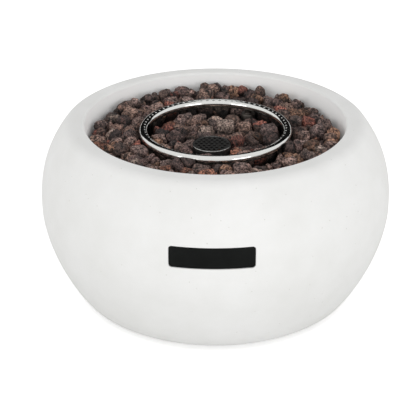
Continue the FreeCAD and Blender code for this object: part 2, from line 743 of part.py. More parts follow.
def burner_ring():
    """The hollow ring tube with its row of gas ports and its welded feed tube."""
    neck = RING_TUBE_DIAMETER - 2 * RING_TUBE_WALL
    neck_bore = neck - 2 * RING_TUBE_WALL
    feed_top = RING_BOTTOM - FEED_NECK_HEIGHT
    wall_low = RING_BOTTOM + RING_TUBE_WALL / 2
    feed = upright(FEED_DIAMETER, VALVE_X, FEED_Y, FEED_BOTTOM, feed_top)
    throat = upright(neck, VALVE_X, FEED_Y, feed_top, wall_low)
    hollow = upright(
        FEED_DIAMETER - 2 * FEED_WALL, VALVE_X, FEED_Y, FEED_BOTTOM - 1, feed_top - FEED_WALL)
    passage = upright(neck_bore, VALVE_X, FEED_Y, feed_top - 2 * FEED_WALL, RING_LEVEL)
    skin, bore = ring_skin_and_bore()
    ring = skin.fuse(feed.fuse(throat)).cut(bore).cut(hollow.fuse(passage))
    ports = [ring_port(360 * (n + 0.5) / PORT_COUNT) for n in range(PORT_COUNT)]
    return ring.cut(Part.makeCompound(ports))


def ring_legs():
    """Three posts between the pan and the ring, each with a foot that is screwed from below."""
    legs = []
    for angle in leg_angles():
        x, y = on_circle(RING_DIAMETER, angle)
        post = upright(LEG_DIAMETER, x, y, PAN_TOP, RING_BOTTOM - SEAT_GAP)
        foot = upright(LEG_FLANGE_DIAMETER, x, y, PAN_TOP, PAN_TOP + LEG_FLANGE_THICKNESS)
        hole = upright(
            SCREW_DIAMETER + 2 * FIT_GAP, x, y, PAN_TOP - 1, PAN_TOP + LEG_SCREW_GRIP + HOLE_SPARE)
        legs.append(post.fuse(foot).cut(hole).removeSplitter())
    return legs


def leg_screws():
    screws = []
    for angle in leg_angles():
        x, y = on_circle(RING_DIAMETER, angle)
        screws.append(hex_screw(point(x, y, PAN_UNDERSIDE), UP, PAN_SHEET + LEG_SCREW_GRIP))
    return screws


def feed_nuts():
    """Two thin nuts that clamp the feed tube to the pan, one above and one below."""
    nuts = []
    for low in (PAN_TOP, PAN_UNDERSIDE - FEED_NUT_THICKNESS):
        nut = hex_prism(FEED_NUT_WIDTH, point(VALVE_X, FEED_Y, low), UP, FEED_NUT_THICKNESS)
        bore = upright(FEED_DIAMETER + 2 * SEAT_GAP, VALVE_X, FEED_Y, low - 1, low + FEED_NUT_THICKNESS + 1)
        nuts.append(nut.cut(bore))
    return nuts


def guard_tab(number, growth):
    """A strip of the guard's wall that goes down through the pan, grown for its slot."""
    radius = GUARD_DIAMETER / 2
    low = PAN_UNDERSIDE - GUARD_TAB_DROP - (1 if growth else 0)
    wall = tube(
        GUARD_DIAMETER + 2 * growth, GUARD_DIAMETER - 2 * GUARD_SHEET - 2 * growth,
        point(0, 0, low), UP, PAN_TOP + 1 - low)
    strip = Part.makeBox(
        radius + 5, GUARD_TAB_WIDTH + 2 * growth, PAN_TOP + 1 - low,
        point(0, -GUARD_TAB_WIDTH / 2 - growth, low))
    tab = wall.common(strip)
    tab.rotate(ORIGIN, UP, 90 + 360 * number / GUARD_TAB_COUNT)
    tab.translate(point(GUARD_X, GUARD_Y, 0))
    return tab


def guard_cup():
    """The short tube round the electrode and the sensor, with gas slots and fixing tabs."""
    top = GUARD_TOP - GUARD_SHEET - SEAT_GAP
    wall = tube(
        GUARD_DIAMETER, GUARD_DIAMETER - 2 * GUARD_SHEET, point(GUARD_X, GUARD_Y, PAN_TOP), UP,
        top - PAN_TOP)
    for n in range(GUARD_TAB_COUNT):
        wall = wall.fuse(guard_tab(n, 0))
    slots = []
    for n in range(GUARD_SLOT_COUNT):
        slot = Part.makeBox(
            GUARD_DIAMETER, GUARD_SLOT_WIDTH, GUARD_SLOT_HEIGHT,
            point(0, -GUARD_SLOT_WIDTH / 2, PAN_TOP + GUARD_SLOT_ABOVE_PAN))
        slot.rotate(ORIGIN, UP, 360 * (n + 0.5) / GUARD_SLOT_COUNT)
        slot.translate(point(GUARD_X, GUARD_Y, 0))
        slots.append(slot)
    return wall.removeSplitter().cut(Part.makeCompound(slots))


def guard_lid():
    """The perforated lid with its turned-down rim."""
    radius = GUARD_LID_DIAMETER / 2
    inner = radius - GUARD_SHEET
    low = GUARD_TOP - GUARD_LID_SKIRT
    lid = turned([
        (0, GUARD_TOP - GUARD_SHEET), (inner, GUARD_TOP - GUARD_SHEET), (inner, low), (radius, low),
        (radius, GUARD_TOP), (0, GUARD_TOP)])
    edge = circle_edges(lid, radius, GUARD_TOP)
    lid = lid.makeFillet(GUARD_SHEET * 0.9, edge)
    holes = []
    for q in range(-GUARD_HOLE_RINGS, GUARD_HOLE_RINGS + 1):
        for r in range(-GUARD_HOLE_RINGS, GUARD_HOLE_RINGS + 1):
            if abs(q + r) <= GUARD_HOLE_RINGS:
                x = GUARD_HOLE_PITCH * (q + r / 2)
                y = GUARD_HOLE_PITCH * r * math.sqrt(3) / 2
                start = point(x, y, GUARD_TOP - GUARD_SHEET - 1)
                holes.append(hex_prism(GUARD_HOLE_WIDTH, start, UP, GUARD_SHEET + 2))
    lid = lid.cut(Part.makeCompound(holes))
    lid.translate(point(GUARD_X, GUARD_Y, 0))
    return lid


def electrode_ceramic():
    """The white insulator, with a collar that rests on the pan."""
    body = upright(
        CERAMIC_DIAMETER, ELECTRODE_X, GUARD_Y,
        PAN_UNDERSIDE - CERAMIC_BELOW_PAN, PAN_TOP + CERAMIC_ABOVE_PAN)
    collar = upright(
        CERAMIC_FLANGE_DIAMETER, ELECTRODE_X, GUARD_Y, PAN_TOP, PAN_TOP + CERAMIC_FLANGE_THICKNESS)
    bore = upright(ELECTRODE_DIAMETER + 2 * FIT_GAP, ELECTRODE_X, GUARD_Y, ROD_END, GUARD_TOP)
    return body.fuse(collar).cut(bore).removeSplitter()


def electrode_rod():
    top = GUARD_TOP - GUARD_SHEET - SPARK_GAP
    return upright(ELECTRODE_DIAMETER, ELECTRODE_X, GUARD_Y, ROD_END, top)


def flame_sensor():
    """The thermocouple's tip with the collars that hold it in the pan."""
    tip = upright(SENSOR_DIAMETER, SENSOR_X, GUARD_Y, SENSOR_END, GUARD_TOP - SENSOR_TIP_GAP)
    above = upright(SENSOR_COLLAR_DIAMETER, SENSOR_X, GUARD_Y, PAN_TOP, PAN_TOP + SENSOR_COLLAR_THICKNESS)
    below = upright(
        SENSOR_COLLAR_DIAMETER, SENSOR_X, GUARD_Y, PAN_UNDERSIDE - SENSOR_COLLAR_THICKNESS, PAN_UNDERSIDE)
    return tip.fuse(above).fuse(below).removeSplitter()


def igniter_rear():
    return PANEL_BACK - IGNITER_LENGTH - IGNITER_TERMINAL_LENGTH


def ignition_lead():
    """The insulated lead from the igniter's terminal to the boot on the electrode."""
    low = ROD_END - SEAT_GAP
    end = point(IGNITER_X, igniter_rear() - SEAT_GAP, PANEL_LEVEL)
    points = [
        point(ELECTRODE_X, GUARD_Y, low),
        point(ELECTRODE_X, GUARD_Y, low - 30),
        point(ELECTRODE_X - 3, GUARD_Y + 42, low - 48),
        point(ELECTRODE_X + 2, GUARD_Y + 92, low - 42),
        end - REARWARD * 46 + UP * 2,
        end - REARWARD * 14,
        end,
    ]
    cable = bent_bar(points, LEAD_DIAMETER, "ignition lead")
    boot_low = low - LEAD_BOOT_ON_LEAD
    sleeve = upright(
        LEAD_BOOT_DIAMETER, ELECTRODE_X, GUARD_Y, boot_low, boot_low + LEAD_BOOT_LENGTH)
    grip = upright(ELECTRODE_DIAMETER + 2 * FIT_GAP, ELECTRODE_X, GUARD_Y, low, low + LEAD_BOOT_LENGTH)
    return cable.fuse(sleeve.cut(grip))


def sensor_lead():
    """The thin lead from the flame sensor to the magnet nut on the valve."""
    start = point(SENSOR_X, GUARD_Y, SENSOR_END - SEAT_GAP)
    side = VALVE_X + VALVE_BARREL_DIAMETER / 2 + SENSOR_PORT_LENGTH
    end = point(side + SEAT_GAP, sensor_port_y(), PANEL_LEVEL)
    points = [
        start,
        start - UP * 28,
        start + SIDEWAYS * 48 + REARWARD * 24 - UP * 40,
        start + SIDEWAYS * 90 + REARWARD * 72 - UP * 46,
        point(end.x + 34, start.y + 134, end.z + 3),
        point(end.x + 32, end.y, end.z),
        end,
    ]
    return bent_bar(points, SENSOR_LEAD_DIAMETER, "sensor lead")


def sensor_port_y():
    return VALVE_REAR + PORTS_FROM_REAR


def control_panel():
    """The flat steel plate at the bottom of the rear recess."""
    panel = rounded_panel(
        PANEL_WIDTH, PANEL_HEIGHT, PANEL_CORNER, 0, PANEL_LEVEL, PANEL_BACK, PANEL_FACE)
    front = PANEL_BACK - 1
    rear = PANEL_FACE + 1
    hole = SCREW_DIAMETER + 2 * SCREW_GAP
    cuts = [along_y(hole, x, z, front, rear) for x, z in panel_screw_places()]
    cuts += [along_y(hole, x, PANEL_LEVEL, front, rear) for x in valve_screw_places()]
    cuts.append(along_y(STEM_DIAMETER + 2 * PANEL_STEM_GAP, VALVE_X, PANEL_LEVEL, front, rear))
    cuts.append(along_y(IGNITER_DIAMETER + 2 * SCREW_GAP, IGNITER_X, PANEL_LEVEL, front, rear))
    cuts.append(along_y(INLET_THREAD_DIAMETER + 2 * SCREW_GAP, INLET_X, PANEL_LEVEL, front, rear))
    return panel.cut(Part.makeCompound(cuts))


def panel_screws():
    inward = REARWARD * -1
    length = PANEL_THICKNESS + PANEL_SCREW_GRIP
    return [screw(point(x, PANEL_FACE, z), inward, length) for x, z in panel_screw_places()]


def valve_screw_places():
    return [VALVE_X - VALVE_SCREW_SPACING / 2, VALVE_X + VALVE_SCREW_SPACING / 2]


def valve_screws():
    inward = REARWARD * -1
    length = PANEL_THICKNESS + VALVE_FLANGE_THICKNESS
    return [screw(point(x, PANEL_FACE, PANEL_LEVEL), inward, length) for x in valve_screw_places()]


def plug_outline(growth):
    """Half section of the tapered plug, or of its seat when it is grown."""
    front = PLUG_FRONT
    rear = PLUG_FRONT - PLUG_LENGTH
    return [
        (0, rear - growth), (PLUG_BACK_DIAMETER / 2 + growth, rear - growth),
        (PLUG_FRONT_DIAMETER / 2 + growth, front), (0, front)]


def valve_body():
    """The brass valve: flange, barrel, outlet nose, inlet boss and magnet port."""
    flange_front = PANEL_BACK - VALVE_FLANGE_THICKNESS
    body = rounded_panel(
        VALVE_FLANGE_WIDTH, VALVE_FLANGE_HEIGHT, VALVE_FLANGE_CORNER, VALVE_X, PANEL_LEVEL,
        flange_front, PANEL_BACK)
    body = body.fuse(along_y(VALVE_BARREL_DIAMETER, VALVE_X, PANEL_LEVEL, VALVE_REAR, flange_front))
    body = body.fuse(along_y(VALVE_NOSE_DIAMETER, VALVE_X, PANEL_LEVEL, NOSE_END, VALVE_REAR))
    boss_low = inlet_boss_low()
    body = body.fuse(upright(TUBE_NUT_WIDTH, VALVE_X, sensor_port_y(), boss_low, PANEL_LEVEL))
    port_length = VALVE_BARREL_DIAMETER / 2 + SENSOR_PORT_LENGTH
    body = body.fuse(rod(
        SENSOR_PORT_DIAMETER, point(VALVE_X, sensor_port_y(), PANEL_LEVEL), SIDEWAYS, port_length))
    seat = turned_on_y(plug_outline(TURNING_GAP), VALVE_X, PANEL_LEVEL)
    spring_room = along_y(
        PLUG_FRONT_DIAMETER + 2 * TURNING_GAP, VALVE_X, PANEL_LEVEL, PLUG_FRONT, flange_front)
    stem_hole = along_y(
        STEM_DIAMETER + 2 * TURNING_GAP, VALVE_X, PANEL_LEVEL, flange_front - 1, PANEL_BACK + 1)
    outlet = along_y(PLUG_PORT_DIAMETER, VALVE_X, PANEL_LEVEL, NOSE_END - 1, PLUG_FRONT - PLUG_LENGTH + 1)
    inlet = upright(GAS_TUBE_DIAMETER - 2 * GAS_TUBE_WALL, VALVE_X, sensor_port_y(), boss_low - 1, PANEL_LEVEL)
    socket = upright(
        GAS_TUBE_DIAMETER + 2 * SEAT_GAP, VALVE_X, sensor_port_y(), boss_low - 1, boss_low + TUBE_SOCKET_DEPTH)
    body = body.cut(seat).cut(spring_room).cut(stem_hole).cut(outlet).cut(inlet).cut(socket)
    hole = SCREW_DIAMETER + 2 * FIT_GAP
    for x in valve_screw_places():
        body = body.cut(along_y(hole, x, PANEL_LEVEL, flange_front - 1, PANEL_BACK + 1))
    return body


def inlet_boss_low():
    return PANEL_LEVEL - VALVE_BARREL_DIAMETER / 2 - INLET_BOSS_LENGTH


def valve_plug():
    """The tapered plug that opens and shuts the gas, with a cross port and a drive slot."""
    plug = turned_on_y(plug_outline(0), VALVE_X, PANEL_LEVEL)
    bore = along_y(
        PLUG_PORT_DIAMETER, VALVE_X, PANEL_LEVEL, PLUG_FRONT - PLUG_LENGTH - 1,
        PLUG_FRONT - STEM_TANG_LENGTH - 5)
    slot = Part.makeBox(
        STEM_DIAMETER + 2 * TURNING_GAP + 2, STEM_TANG_LENGTH + KNOB_TRAVEL + 1,
        STEM_TANG_WIDTH + 2 * TURNING_GAP,
        point(
            VALVE_X - STEM_DIAMETER / 2 - TURNING_GAP - 1,
            PLUG_FRONT - STEM_TANG_LENGTH - KNOB_TRAVEL - 1 + SPRING_ROOM,
            PANEL_LEVEL - STEM_TANG_WIDTH / 2 - TURNING_GAP))
    return plug.cut(bore).cut(slot)


def stem_collar_rear():
    return PLUG_FRONT + SPRING_ROOM


def valve_stem():
    """The spindle with a tang for the plug, a collar for its spring and a flat for the knob."""
    collar_rear = stem_collar_rear()
    collar = along_y(
        STEM_COLLAR_DIAMETER, VALVE_X, PANEL_LEVEL, collar_rear, collar_rear + STEM_COLLAR_THICKNESS)
    knob_end = KNOB_BACK + KNOB_SOCKET_DEPTH - 0.5
    shaft = along_y(STEM_DIAMETER, VALVE_X, PANEL_LEVEL, collar_rear, knob_end)
    flat = Part.makeBox(
        STEM_DIAMETER, KNOB_SOCKET_DEPTH, STEM_DIAMETER,
        point(VALVE_X - STEM_DIAMETER / 2, KNOB_BACK, PANEL_LEVEL + STEM_DIAMETER / 2 - STEM_FLAT))
    tang = Part.makeBox(
        STEM_DIAMETER, STEM_TANG_LENGTH, STEM_TANG_WIDTH,
        point(VALVE_X - STEM_DIAMETER / 2, collar_rear - STEM_TANG_LENGTH, PANEL_LEVEL - STEM_TANG_WIDTH / 2))
    return shaft.cut(flat).fuse(collar).fuse(tang)


def stem_spring():
    """The return spring round the tang, drawn as its plain sleeve inside the closed valve."""
    outer = PLUG_FRONT_DIAMETER - 1
    return tube(
        outer, outer - 2 * SPRING_WALL, point(VALVE_X, PLUG_FRONT + SEAT_GAP, PANEL_LEVEL), REARWARD,
        SPRING_ROOM - 2 * SEAT_GAP)


def control_knob():
    """The moulded knob: a hollow-backed skirt, a waisted finger grip and a pointer groove."""
    radius = KNOB_DIAMETER / 2
    skirt = turned_on_y([
        (0, KNOB_BACK), (radius, KNOB_BACK), (radius, KNOB_BACK + KNOB_RIM),
        (radius - KNOB_SLOPE, KNOB_BACK + KNOB_SKIRT), (0, KNOB_BACK + KNOB_SKIRT)], VALVE_X, PANEL_LEVEL)
    front = KNOB_BACK + KNOB_DEPTH
    grip_radius = KNOB_GRIP_DIAMETER / 2
    grip = turned_on_y([
        (0, KNOB_BACK + KNOB_SKIRT - 1), (grip_radius, KNOB_BACK + KNOB_SKIRT - 1),
        (grip_radius - KNOB_RIM, front - KNOB_EDGE), (grip_radius - KNOB_RIM - KNOB_EDGE, front), (0, front)],
        VALVE_X, PANEL_LEVEL)
    for side in (-1, 1):
        scoop = along_y(KNOB_DIAMETER, VALVE_X, 0, KNOB_BACK + KNOB_SKIRT, front + 1)
        scoop.translate(point(side * (KNOB_GRIP_WIDTH / 2 + radius), 0, PANEL_LEVEL))
        grip = grip.cut(scoop)
    knob = skirt.fuse(grip)
    groove = Part.makeBox(
        POINTER_WIDTH, POINTER_DEPTH + 1, POINTER_LENGTH,
        point(
            VALVE_X - POINTER_WIDTH / 2, front - POINTER_DEPTH,
            PANEL_LEVEL + grip_radius - POINTER_FROM_EDGE - POINTER_LENGTH))
    socket = along_y(
        STEM_DIAMETER + 2 * FIT_GAP, VALVE_X, PANEL_LEVEL, KNOB_BACK - 1, KNOB_BACK + KNOB_SOCKET_DEPTH)
    key = Part.makeBox(
        STEM_DIAMETER + 2, KNOB_SOCKET_DEPTH + 2, STEM_DIAMETER,
        point(
            VALVE_X - STEM_DIAMETER / 2 - 1, KNOB_BACK - 1,
            PANEL_LEVEL + STEM_DIAMETER / 2 - STEM_FLAT + FIT_GAP))
    hollow = tube(
        KNOB_HOLLOW_DIAMETER, KNOB_HUB_DIAMETER, point(VALVE_X, KNOB_BACK, PANEL_LEVEL), REARWARD,
        SCREW_HEAD_HEIGHT)
    return knob.cut(groove).cut(socket.cut(key)).cut(hollow)


def injector():
    """The brass gas jet on the valve's nose: a hexagon and a drilled tip."""
    start = point(VALVE_X, INJECTOR_END, PANEL_LEVEL)
    tip = along_y(INJECTOR_TIP_DIAMETER, VALVE_X, PANEL_LEVEL, INJECTOR_END, NOSE_END)
    shoulder = point(VALVE_X, NOSE_END - INJECTOR_HEX_LENGTH, PANEL_LEVEL)
    body = hex_prism(INJECTOR_WIDTH, shoulder, REARWARD, INJECTOR_HEX_LENGTH)
    bore = rod(INJECTOR_BORE, start - REARWARD, REARWARD, INJECTOR_LENGTH + 2)
    return body.fuse(tip).cut(bore)


def mixer_points():
    mouth = point(VALVE_X, NOSE_END + MIXER_OVER_NOSE, PANEL_LEVEL)
    return mouth, point(VALVE_X, FEED_Y, PANEL_LEVEL), point(VALVE_X, FEED_Y, FEED_BOTTOM + MIXER_IN_FEED)


def mixer_solid(diameter, extra):
    """The path of the mixing tube as a solid bar: along Y, up through one bend, then along Z."""
    mouth, corner, top = mixer_points()
    radius = MIXER_BEND_RADIUS
    low = along_y(diameter, VALVE_X, PANEL_LEVEL, FEED_Y + radius, mouth.y + extra)
    turn_centre = corner + REARWARD * radius + UP * radius
    face = Part.Face(Part.Wire(Part.Circle(
        corner + REARWARD * radius, REARWARD, diameter / 2).toShape()))
    bend = face.revolve(turn_centre, SIDEWAYS, -90)
    high = upright(diameter, VALVE_X, FEED_Y, PANEL_LEVEL + radius, top.z + extra)
    return low.fuse(bend).fuse(high)


def mixer_tube():
    """The bent mixing tube, with a plug plate for the injector and two air windows."""
    mouth = mixer_points()[0]
    pipe = mixer_solid(MIXER_DIAMETER, 0).cut(mixer_solid(MIXER_DIAMETER - 2 * MIXER_WALL, 1))
    plate = along_y(MIXER_DIAMETER - MIXER_WALL, VALVE_X, PANEL_LEVEL, NOSE_END + 1, mouth.y)
    plate = plate.cut(along_y(
        VALVE_NOSE_DIAMETER + 2 * SEAT_GAP, VALVE_X, PANEL_LEVEL, NOSE_END - 1, mouth.y + 1))
    pipe = pipe.fuse(plate)
    window_low = point(
        VALVE_X - MIXER_DIAMETER / 2 - 1, NOSE_END - AIR_WINDOW_SET_BACK - AIR_WINDOW_LENGTH,
        PANEL_LEVEL - AIR_WINDOW_WIDTH / 2)
    window = Part.makeBox(MIXER_DIAMETER + 2, AIR_WINDOW_LENGTH, AIR_WINDOW_WIDTH, window_low)
    return pipe.cut(window).removeSplitter()


def air_shutter():
    """The split sleeve that covers part of the air windows."""
    rear = NOSE_END - AIR_WINDOW_SET_BACK - AIR_WINDOW_LENGTH / 2
    inner = MIXER_DIAMETER + 2 * SEAT_GAP
    start = point(VALVE_X, rear - AIR_WINDOW_LENGTH, PANEL_LEVEL)
    sleeve = tube(inner + 2 * MIXER_WALL, inner, start, REARWARD, AIR_WINDOW_LENGTH)
    split = Part.makeBox(
        SHUTTER_SPLIT, AIR_WINDOW_LENGTH + 2, MIXER_DIAMETER,
        point(VALVE_X - SHUTTER_SPLIT / 2, rear - AIR_WINDOW_LENGTH - 1, PANEL_LEVEL - MIXER_DIAMETER))
    return sleeve.cut(split)


def inlet_fitting():
    """The bulkhead fitting that the gas hose screws on to."""
    hex_end = PANEL_FACE + INLET_HEX_THICKNESS
    body = hex_prism(INLET_HEX_WIDTH, point(INLET_X, PANEL_FACE, PANEL_LEVEL), REARWARD, INLET_HEX_THICKNESS)
    radius = INLET_THREAD_DIAMETER / 2
    nose = INLET_NOSE_DIAMETER / 2
    thread_end = hex_end + INLET_THREAD_LENGTH
    stub = turned_on_y([
        (0, PANEL_BACK - INLET_BEHIND_PANEL), (radius, PANEL_BACK - INLET_BEHIND_PANEL),
        (radius, thread_end), (nose, thread_end + radius - nose), (0, thread_end + radius - nose)],
        INLET_X, PANEL_LEVEL)
    bore = along_y(INLET_BORE, INLET_X, PANEL_LEVEL, PANEL_BACK - INLET_BEHIND_PANEL - 1, thread_end + 10)
    socket = along_y(
        GAS_TUBE_DIAMETER + 2 * SEAT_GAP, INLET_X, PANEL_LEVEL, PANEL_BACK - INLET_BEHIND_PANEL - 1,
        PANEL_BACK - INLET_BEHIND_PANEL + TUBE_SOCKET_DEPTH)
    return body.fuse(stub).cut(bore).cut(socket)


def inlet_nut():
    front = PANEL_BACK - INLET_NUT_THICKNESS
    nut = hex_prism(INLET_HEX_WIDTH, point(INLET_X, front, PANEL_LEVEL), REARWARD, INLET_NUT_THICKNESS)
    bore = along_y(INLET_THREAD_DIAMETER + 2 * SEAT_GAP, INLET_X, PANEL_LEVEL, front - 1, PANEL_BACK + 1)
    return nut.cut(bore)


def gas_tube_points():
    start = point(INLET_X, PANEL_BACK - INLET_BEHIND_PANEL + TUBE_SOCKET_DEPTH - SEAT_GAP, PANEL_LEVEL)
    end = point(VALVE_X, sensor_port_y(), inlet_boss_low() + TUBE_SOCKET_DEPTH - SEAT_GAP)
    low = inlet_boss_low() - GAS_TUBE_DROP
    return [
        start,
        start - REARWARD * GAS_TUBE_RUN,
        point(start.x, start.y - GAS_TUBE_RUN, low),
        point(end.x, end.y, low),
        end,
    ]


def gas_tube():
    """The aluminium tube from the inlet fitting to the valve, drawn without its bore."""
    return bent_bar(gas_tube_points(), GAS_TUBE_DIAMETER, "gas tube")


def tube_nuts():
    """The flare nuts at the two ends of the gas tube."""
    bore = GAS_TUBE_DIAMETER + 2 * SEAT_GAP
    rear = PANEL_BACK - INLET_BEHIND_PANEL
    first = point(INLET_X, rear - TUBE_NUT_LENGTH, PANEL_LEVEL)
    second = point(VALVE_X, sensor_port_y(), inlet_boss_low() - TUBE_NUT_LENGTH)
    nuts = []
    for start, direction in ((first, REARWARD), (second, UP)):
        nut = hex_prism(TUBE_NUT_WIDTH, start, direction, TUBE_NUT_LENGTH)
        nuts.append(nut.cut(rod(bore, start - direction, direction, TUBE_NUT_LENGTH + 2)))
    return nuts


def button_back():
    return PANEL_FACE + IGNITER_COLLAR_THICKNESS + BUTTON_PROUD - BUTTON_LENGTH


def igniter_body():
    """The spark generator's case, put in from the rear and held by a nut behind the panel."""
    collar_end = PANEL_FACE + IGNITER_COLLAR_THICKNESS
    case_front = PANEL_BACK - IGNITER_LENGTH
    case = along_y(IGNITER_DIAMETER, IGNITER_X, PANEL_LEVEL, case_front, PANEL_FACE)
    collar = along_y(IGNITER_COLLAR_DIAMETER, IGNITER_X, PANEL_LEVEL, PANEL_FACE, collar_end)
    terminal = along_y(
        IGNITER_TERMINAL_DIAMETER, IGNITER_X, PANEL_LEVEL, case_front - IGNITER_TERMINAL_LENGTH, case_front)
    well = along_y(
        BUTTON_DIAMETER + 2 * TURNING_GAP, IGNITER_X, PANEL_LEVEL, button_back() - BUTTON_SPRING_ROOM,
        collar_end + 1)
    return case.fuse(collar).fuse(terminal).cut(well)


def igniter_nut():
    front = PANEL_BACK - IGNITER_NUT_THICKNESS
    return tube(
        IGNITER_NUT_DIAMETER, IGNITER_DIAMETER + 2 * SEAT_GAP, point(IGNITER_X, front, PANEL_LEVEL),
        REARWARD, IGNITER_NUT_THICKNESS)


def igniter_button():
    """The push button, a round cap with a crowned face."""
    radius = BUTTON_DIAMETER / 2
    front = button_back() + BUTTON_LENGTH
    return turned_on_y([
        (0, button_back()), (radius, button_back()), (radius, front - BUTTON_CROWN),
        (radius - BUTTON_CROWN, front - BUTTON_CROWN / 4), (0, front)], IGNITER_X, PANEL_LEVEL)


def button_spring():
    """The button's return spring, drawn as its plain sleeve inside the closed case."""
    outer = BUTTON_DIAMETER - 2
    return tube(
        outer, outer - 2 * SPRING_WALL,
        point(IGNITER_X, button_back() - BUTTON_SPRING_ROOM + SEAT_GAP, PANEL_LEVEL), REARWARD,
        BUTTON_SPRING_ROOM - 2 * SEAT_GAP)


def clip(faces, normal, limit):
    """Cut a convex body, given as loops of points, and keep the side where p.normal < limit."""
    kept = []
    rim = []
    for loop in faces:
        ring = []
        for here, after in zip(loop, loop[1:] + loop[:1]):
            depth = here.dot(normal) - limit
            depth_after = after.dot(normal) - limit
            if depth <= 0:
                ring.append(here)
            if (depth < 0 < depth_after) or (depth > 0 > depth_after):
                cut = here + (after - here) * (depth / (depth - depth_after))
                ring.append(cut)
                rim.append(cut)
        if len(ring) > 2:
            kept.append(ring)
    if len(rim) < 3:
        return kept
    corners = []
    for place in rim:
        if all((place - other).Length > 1e-6 for other in corners):
            corners.append(place)
    if len(corners) < 3:
        return kept
    middle = corners[0] * 0
    for place in corners:
        middle = middle + place * (1 / len(corners))
    across = (corners[0] - middle).normalize()
    beside = normal.cross(across)
    corners.sort(key=lambda p: math.atan2((p - middle).dot(beside), (p - middle).dot(across)))
    kept.append(corners)
    return kept


def stone_block(x, y, low, high):
    """The loops of a tall box round a stone's place, which the planes then cut."""
    reach = STONE_PITCH
    box = Part.makeBox(2 * reach, 2 * reach, high - low, point(x - reach, y - reach, low))
    return [[v.Point for v in face.OuterWire.OrderedVertexes] for face in box.Faces]


def solid_from(faces):
    """A solid from the loops of a convex body."""
    skins = [Part.Face(Part.makePolygon(loop + [loop[0]])) for loop in faces]
    solid = Part.Solid(Part.Shell(skins))
    if solid.Volume < 0:
        solid.reverse()
    return solid


def stone_places(radii, dice):
    """Rough rings of places for stones, moved about so that no row shows."""
    places = []
    for radius in radii:
        count = max(round(2 * math.pi * radius / STONE_PITCH), 1)
        offset = dice.uniform(0, 360)
        for n in range(count):
            x, y = on_circle(2 * radius, offset + 360 * n / count)
            shift = dice.uniform(0, STONE_JITTER)
            turn = dice.uniform(0, 2 * math.pi)
            places.append((x + shift * math.cos(turn), y + shift * math.sin(turn)))
    return places


def ring_rows(inner, outer):
    """Radii of the rows of stones that fill a band between two radii."""
    count = max(round((outer - inner) / (STONE_PITCH * 0.87)), 1)
    return [inner + (outer - inner) * (n + 0.5) / count for n in range(count)]


def shared_plane(a, b, dice_seed):
    """The leaning plane half way between two stones, the same for both."""
    dice = random.Random(dice_seed)
    lean = math.tan(math.radians(dice.uniform(-STONE_LEAN, STONE_LEAN)))
    slant = dice.uniform(-0.25, 0.25)
    normal = point(b[0] - a[0], b[1] - a[1], 0).normalize()
    side = point(-normal.y, normal.x, 0)
    normal = (normal + side * slant + UP * lean).normalize()
    middle = point((a[0] + b[0]) / 2, (a[1] + b[1]) / 2, PAN_TOP + STONE_WAIST)
    return normal, normal.dot(middle)


def keep_outs():
    """Circles that the stones stay clear of: the guard and the feed nut."""
    guard = (GUARD_X, GUARD_Y, GUARD_LID_DIAMETER / 2 + STONE_CLEARANCE)
    nut = (VALVE_X, FEED_Y, FEED_NUT_WIDTH / math.sqrt(3) + STONE_CLEARANCE)
    return [guard, nut]


def lava_stones(inner, outer, depth, seed):
    """Broken stones that fill a band of the pan, each a convex body with leaning sides.

    The band lies between two radii, and depth is how far the tops lie below the rim.
    """
    dice = random.Random(seed)
    blocked = keep_outs()
    places = []
    for x, y in stone_places(ring_rows(inner, outer), dice):
        if all(math.hypot(x - cx, y - cy) > r + STONE_PITCH * 0.3 for cx, cy, r in blocked):
            places.append((x, y))
    stones = []
    for number, here in enumerate(places):
        top = SHELL_TOP - depth - STONE_TOP_SPREAD + dice.uniform(0, 2 * STONE_TOP_SPREAD)
        top = min(top, SHELL_TOP - STONE_LEAST_DEPTH)
        faces = stone_block(here[0], here[1], PAN_TOP + FIT_GAP, top)
        for other, there in enumerate(places):
            apart = math.hypot(here[0] - there[0], here[1] - there[1])
            if other != number and apart < 2.4 * STONE_PITCH:
                low, high = min(number, other), max(number, other)
                normal, level = shared_plane(places[low], places[high], seed * 100000 + low * 500 + high)
                sign = 1 if number == low else -1
                faces = clip(faces, normal * sign, sign * level - STONE_GAP / 2)
        radial = point(here[0], here[1], 0).normalize()
        reach = math.sqrt(outer ** 2 - (STONE_PITCH * 0.75) ** 2)
        faces = clip(faces, radial, reach)
        if inner > STONE_PITCH:
            faces = clip(faces, radial * -1, -inner)
        for cx, cy, r in blocked:
            if math.hypot(here[0] - cx, here[1] - cy) < r + 1.5 * STONE_PITCH:
                away = point(here[0] - cx, here[1] - cy, 0).normalize()
                faces = clip(faces, away * -1, -(away.dot(point(cx, cy, 0)) + r))
        faces = broken_corners(faces, dice)
        stones.append(solid_from(faces))
    return stones


def broken_corners(faces, dice):
    """Cut slanting facets off a stone's top and foot, so that it looks broken, not sawn."""
    corners = [p for loop in faces for p in loop]
    middle = point(0, 0, 0)
    for place in corners:
        middle = middle + place * (1 / len(corners))
    for rise in (1, -1):
        start = dice.uniform(0, 2 * math.pi)
        for n in range(STONE_CORNER_CUTS):
            turn = start + 2 * math.pi * n / STONE_CORNER_CUTS + dice.uniform(-0.4, 0.4)
            steep = dice.uniform(0.5, 1.1) * rise
            normal = point(math.cos(turn), math.sin(turn), steep).normalize()
            farthest = max((p - middle).dot(normal) for p in corners)
            share = dice.uniform(0.62, 0.8)
            faces = clip(faces, normal, normal.dot(middle) + farthest * share)
    return faces


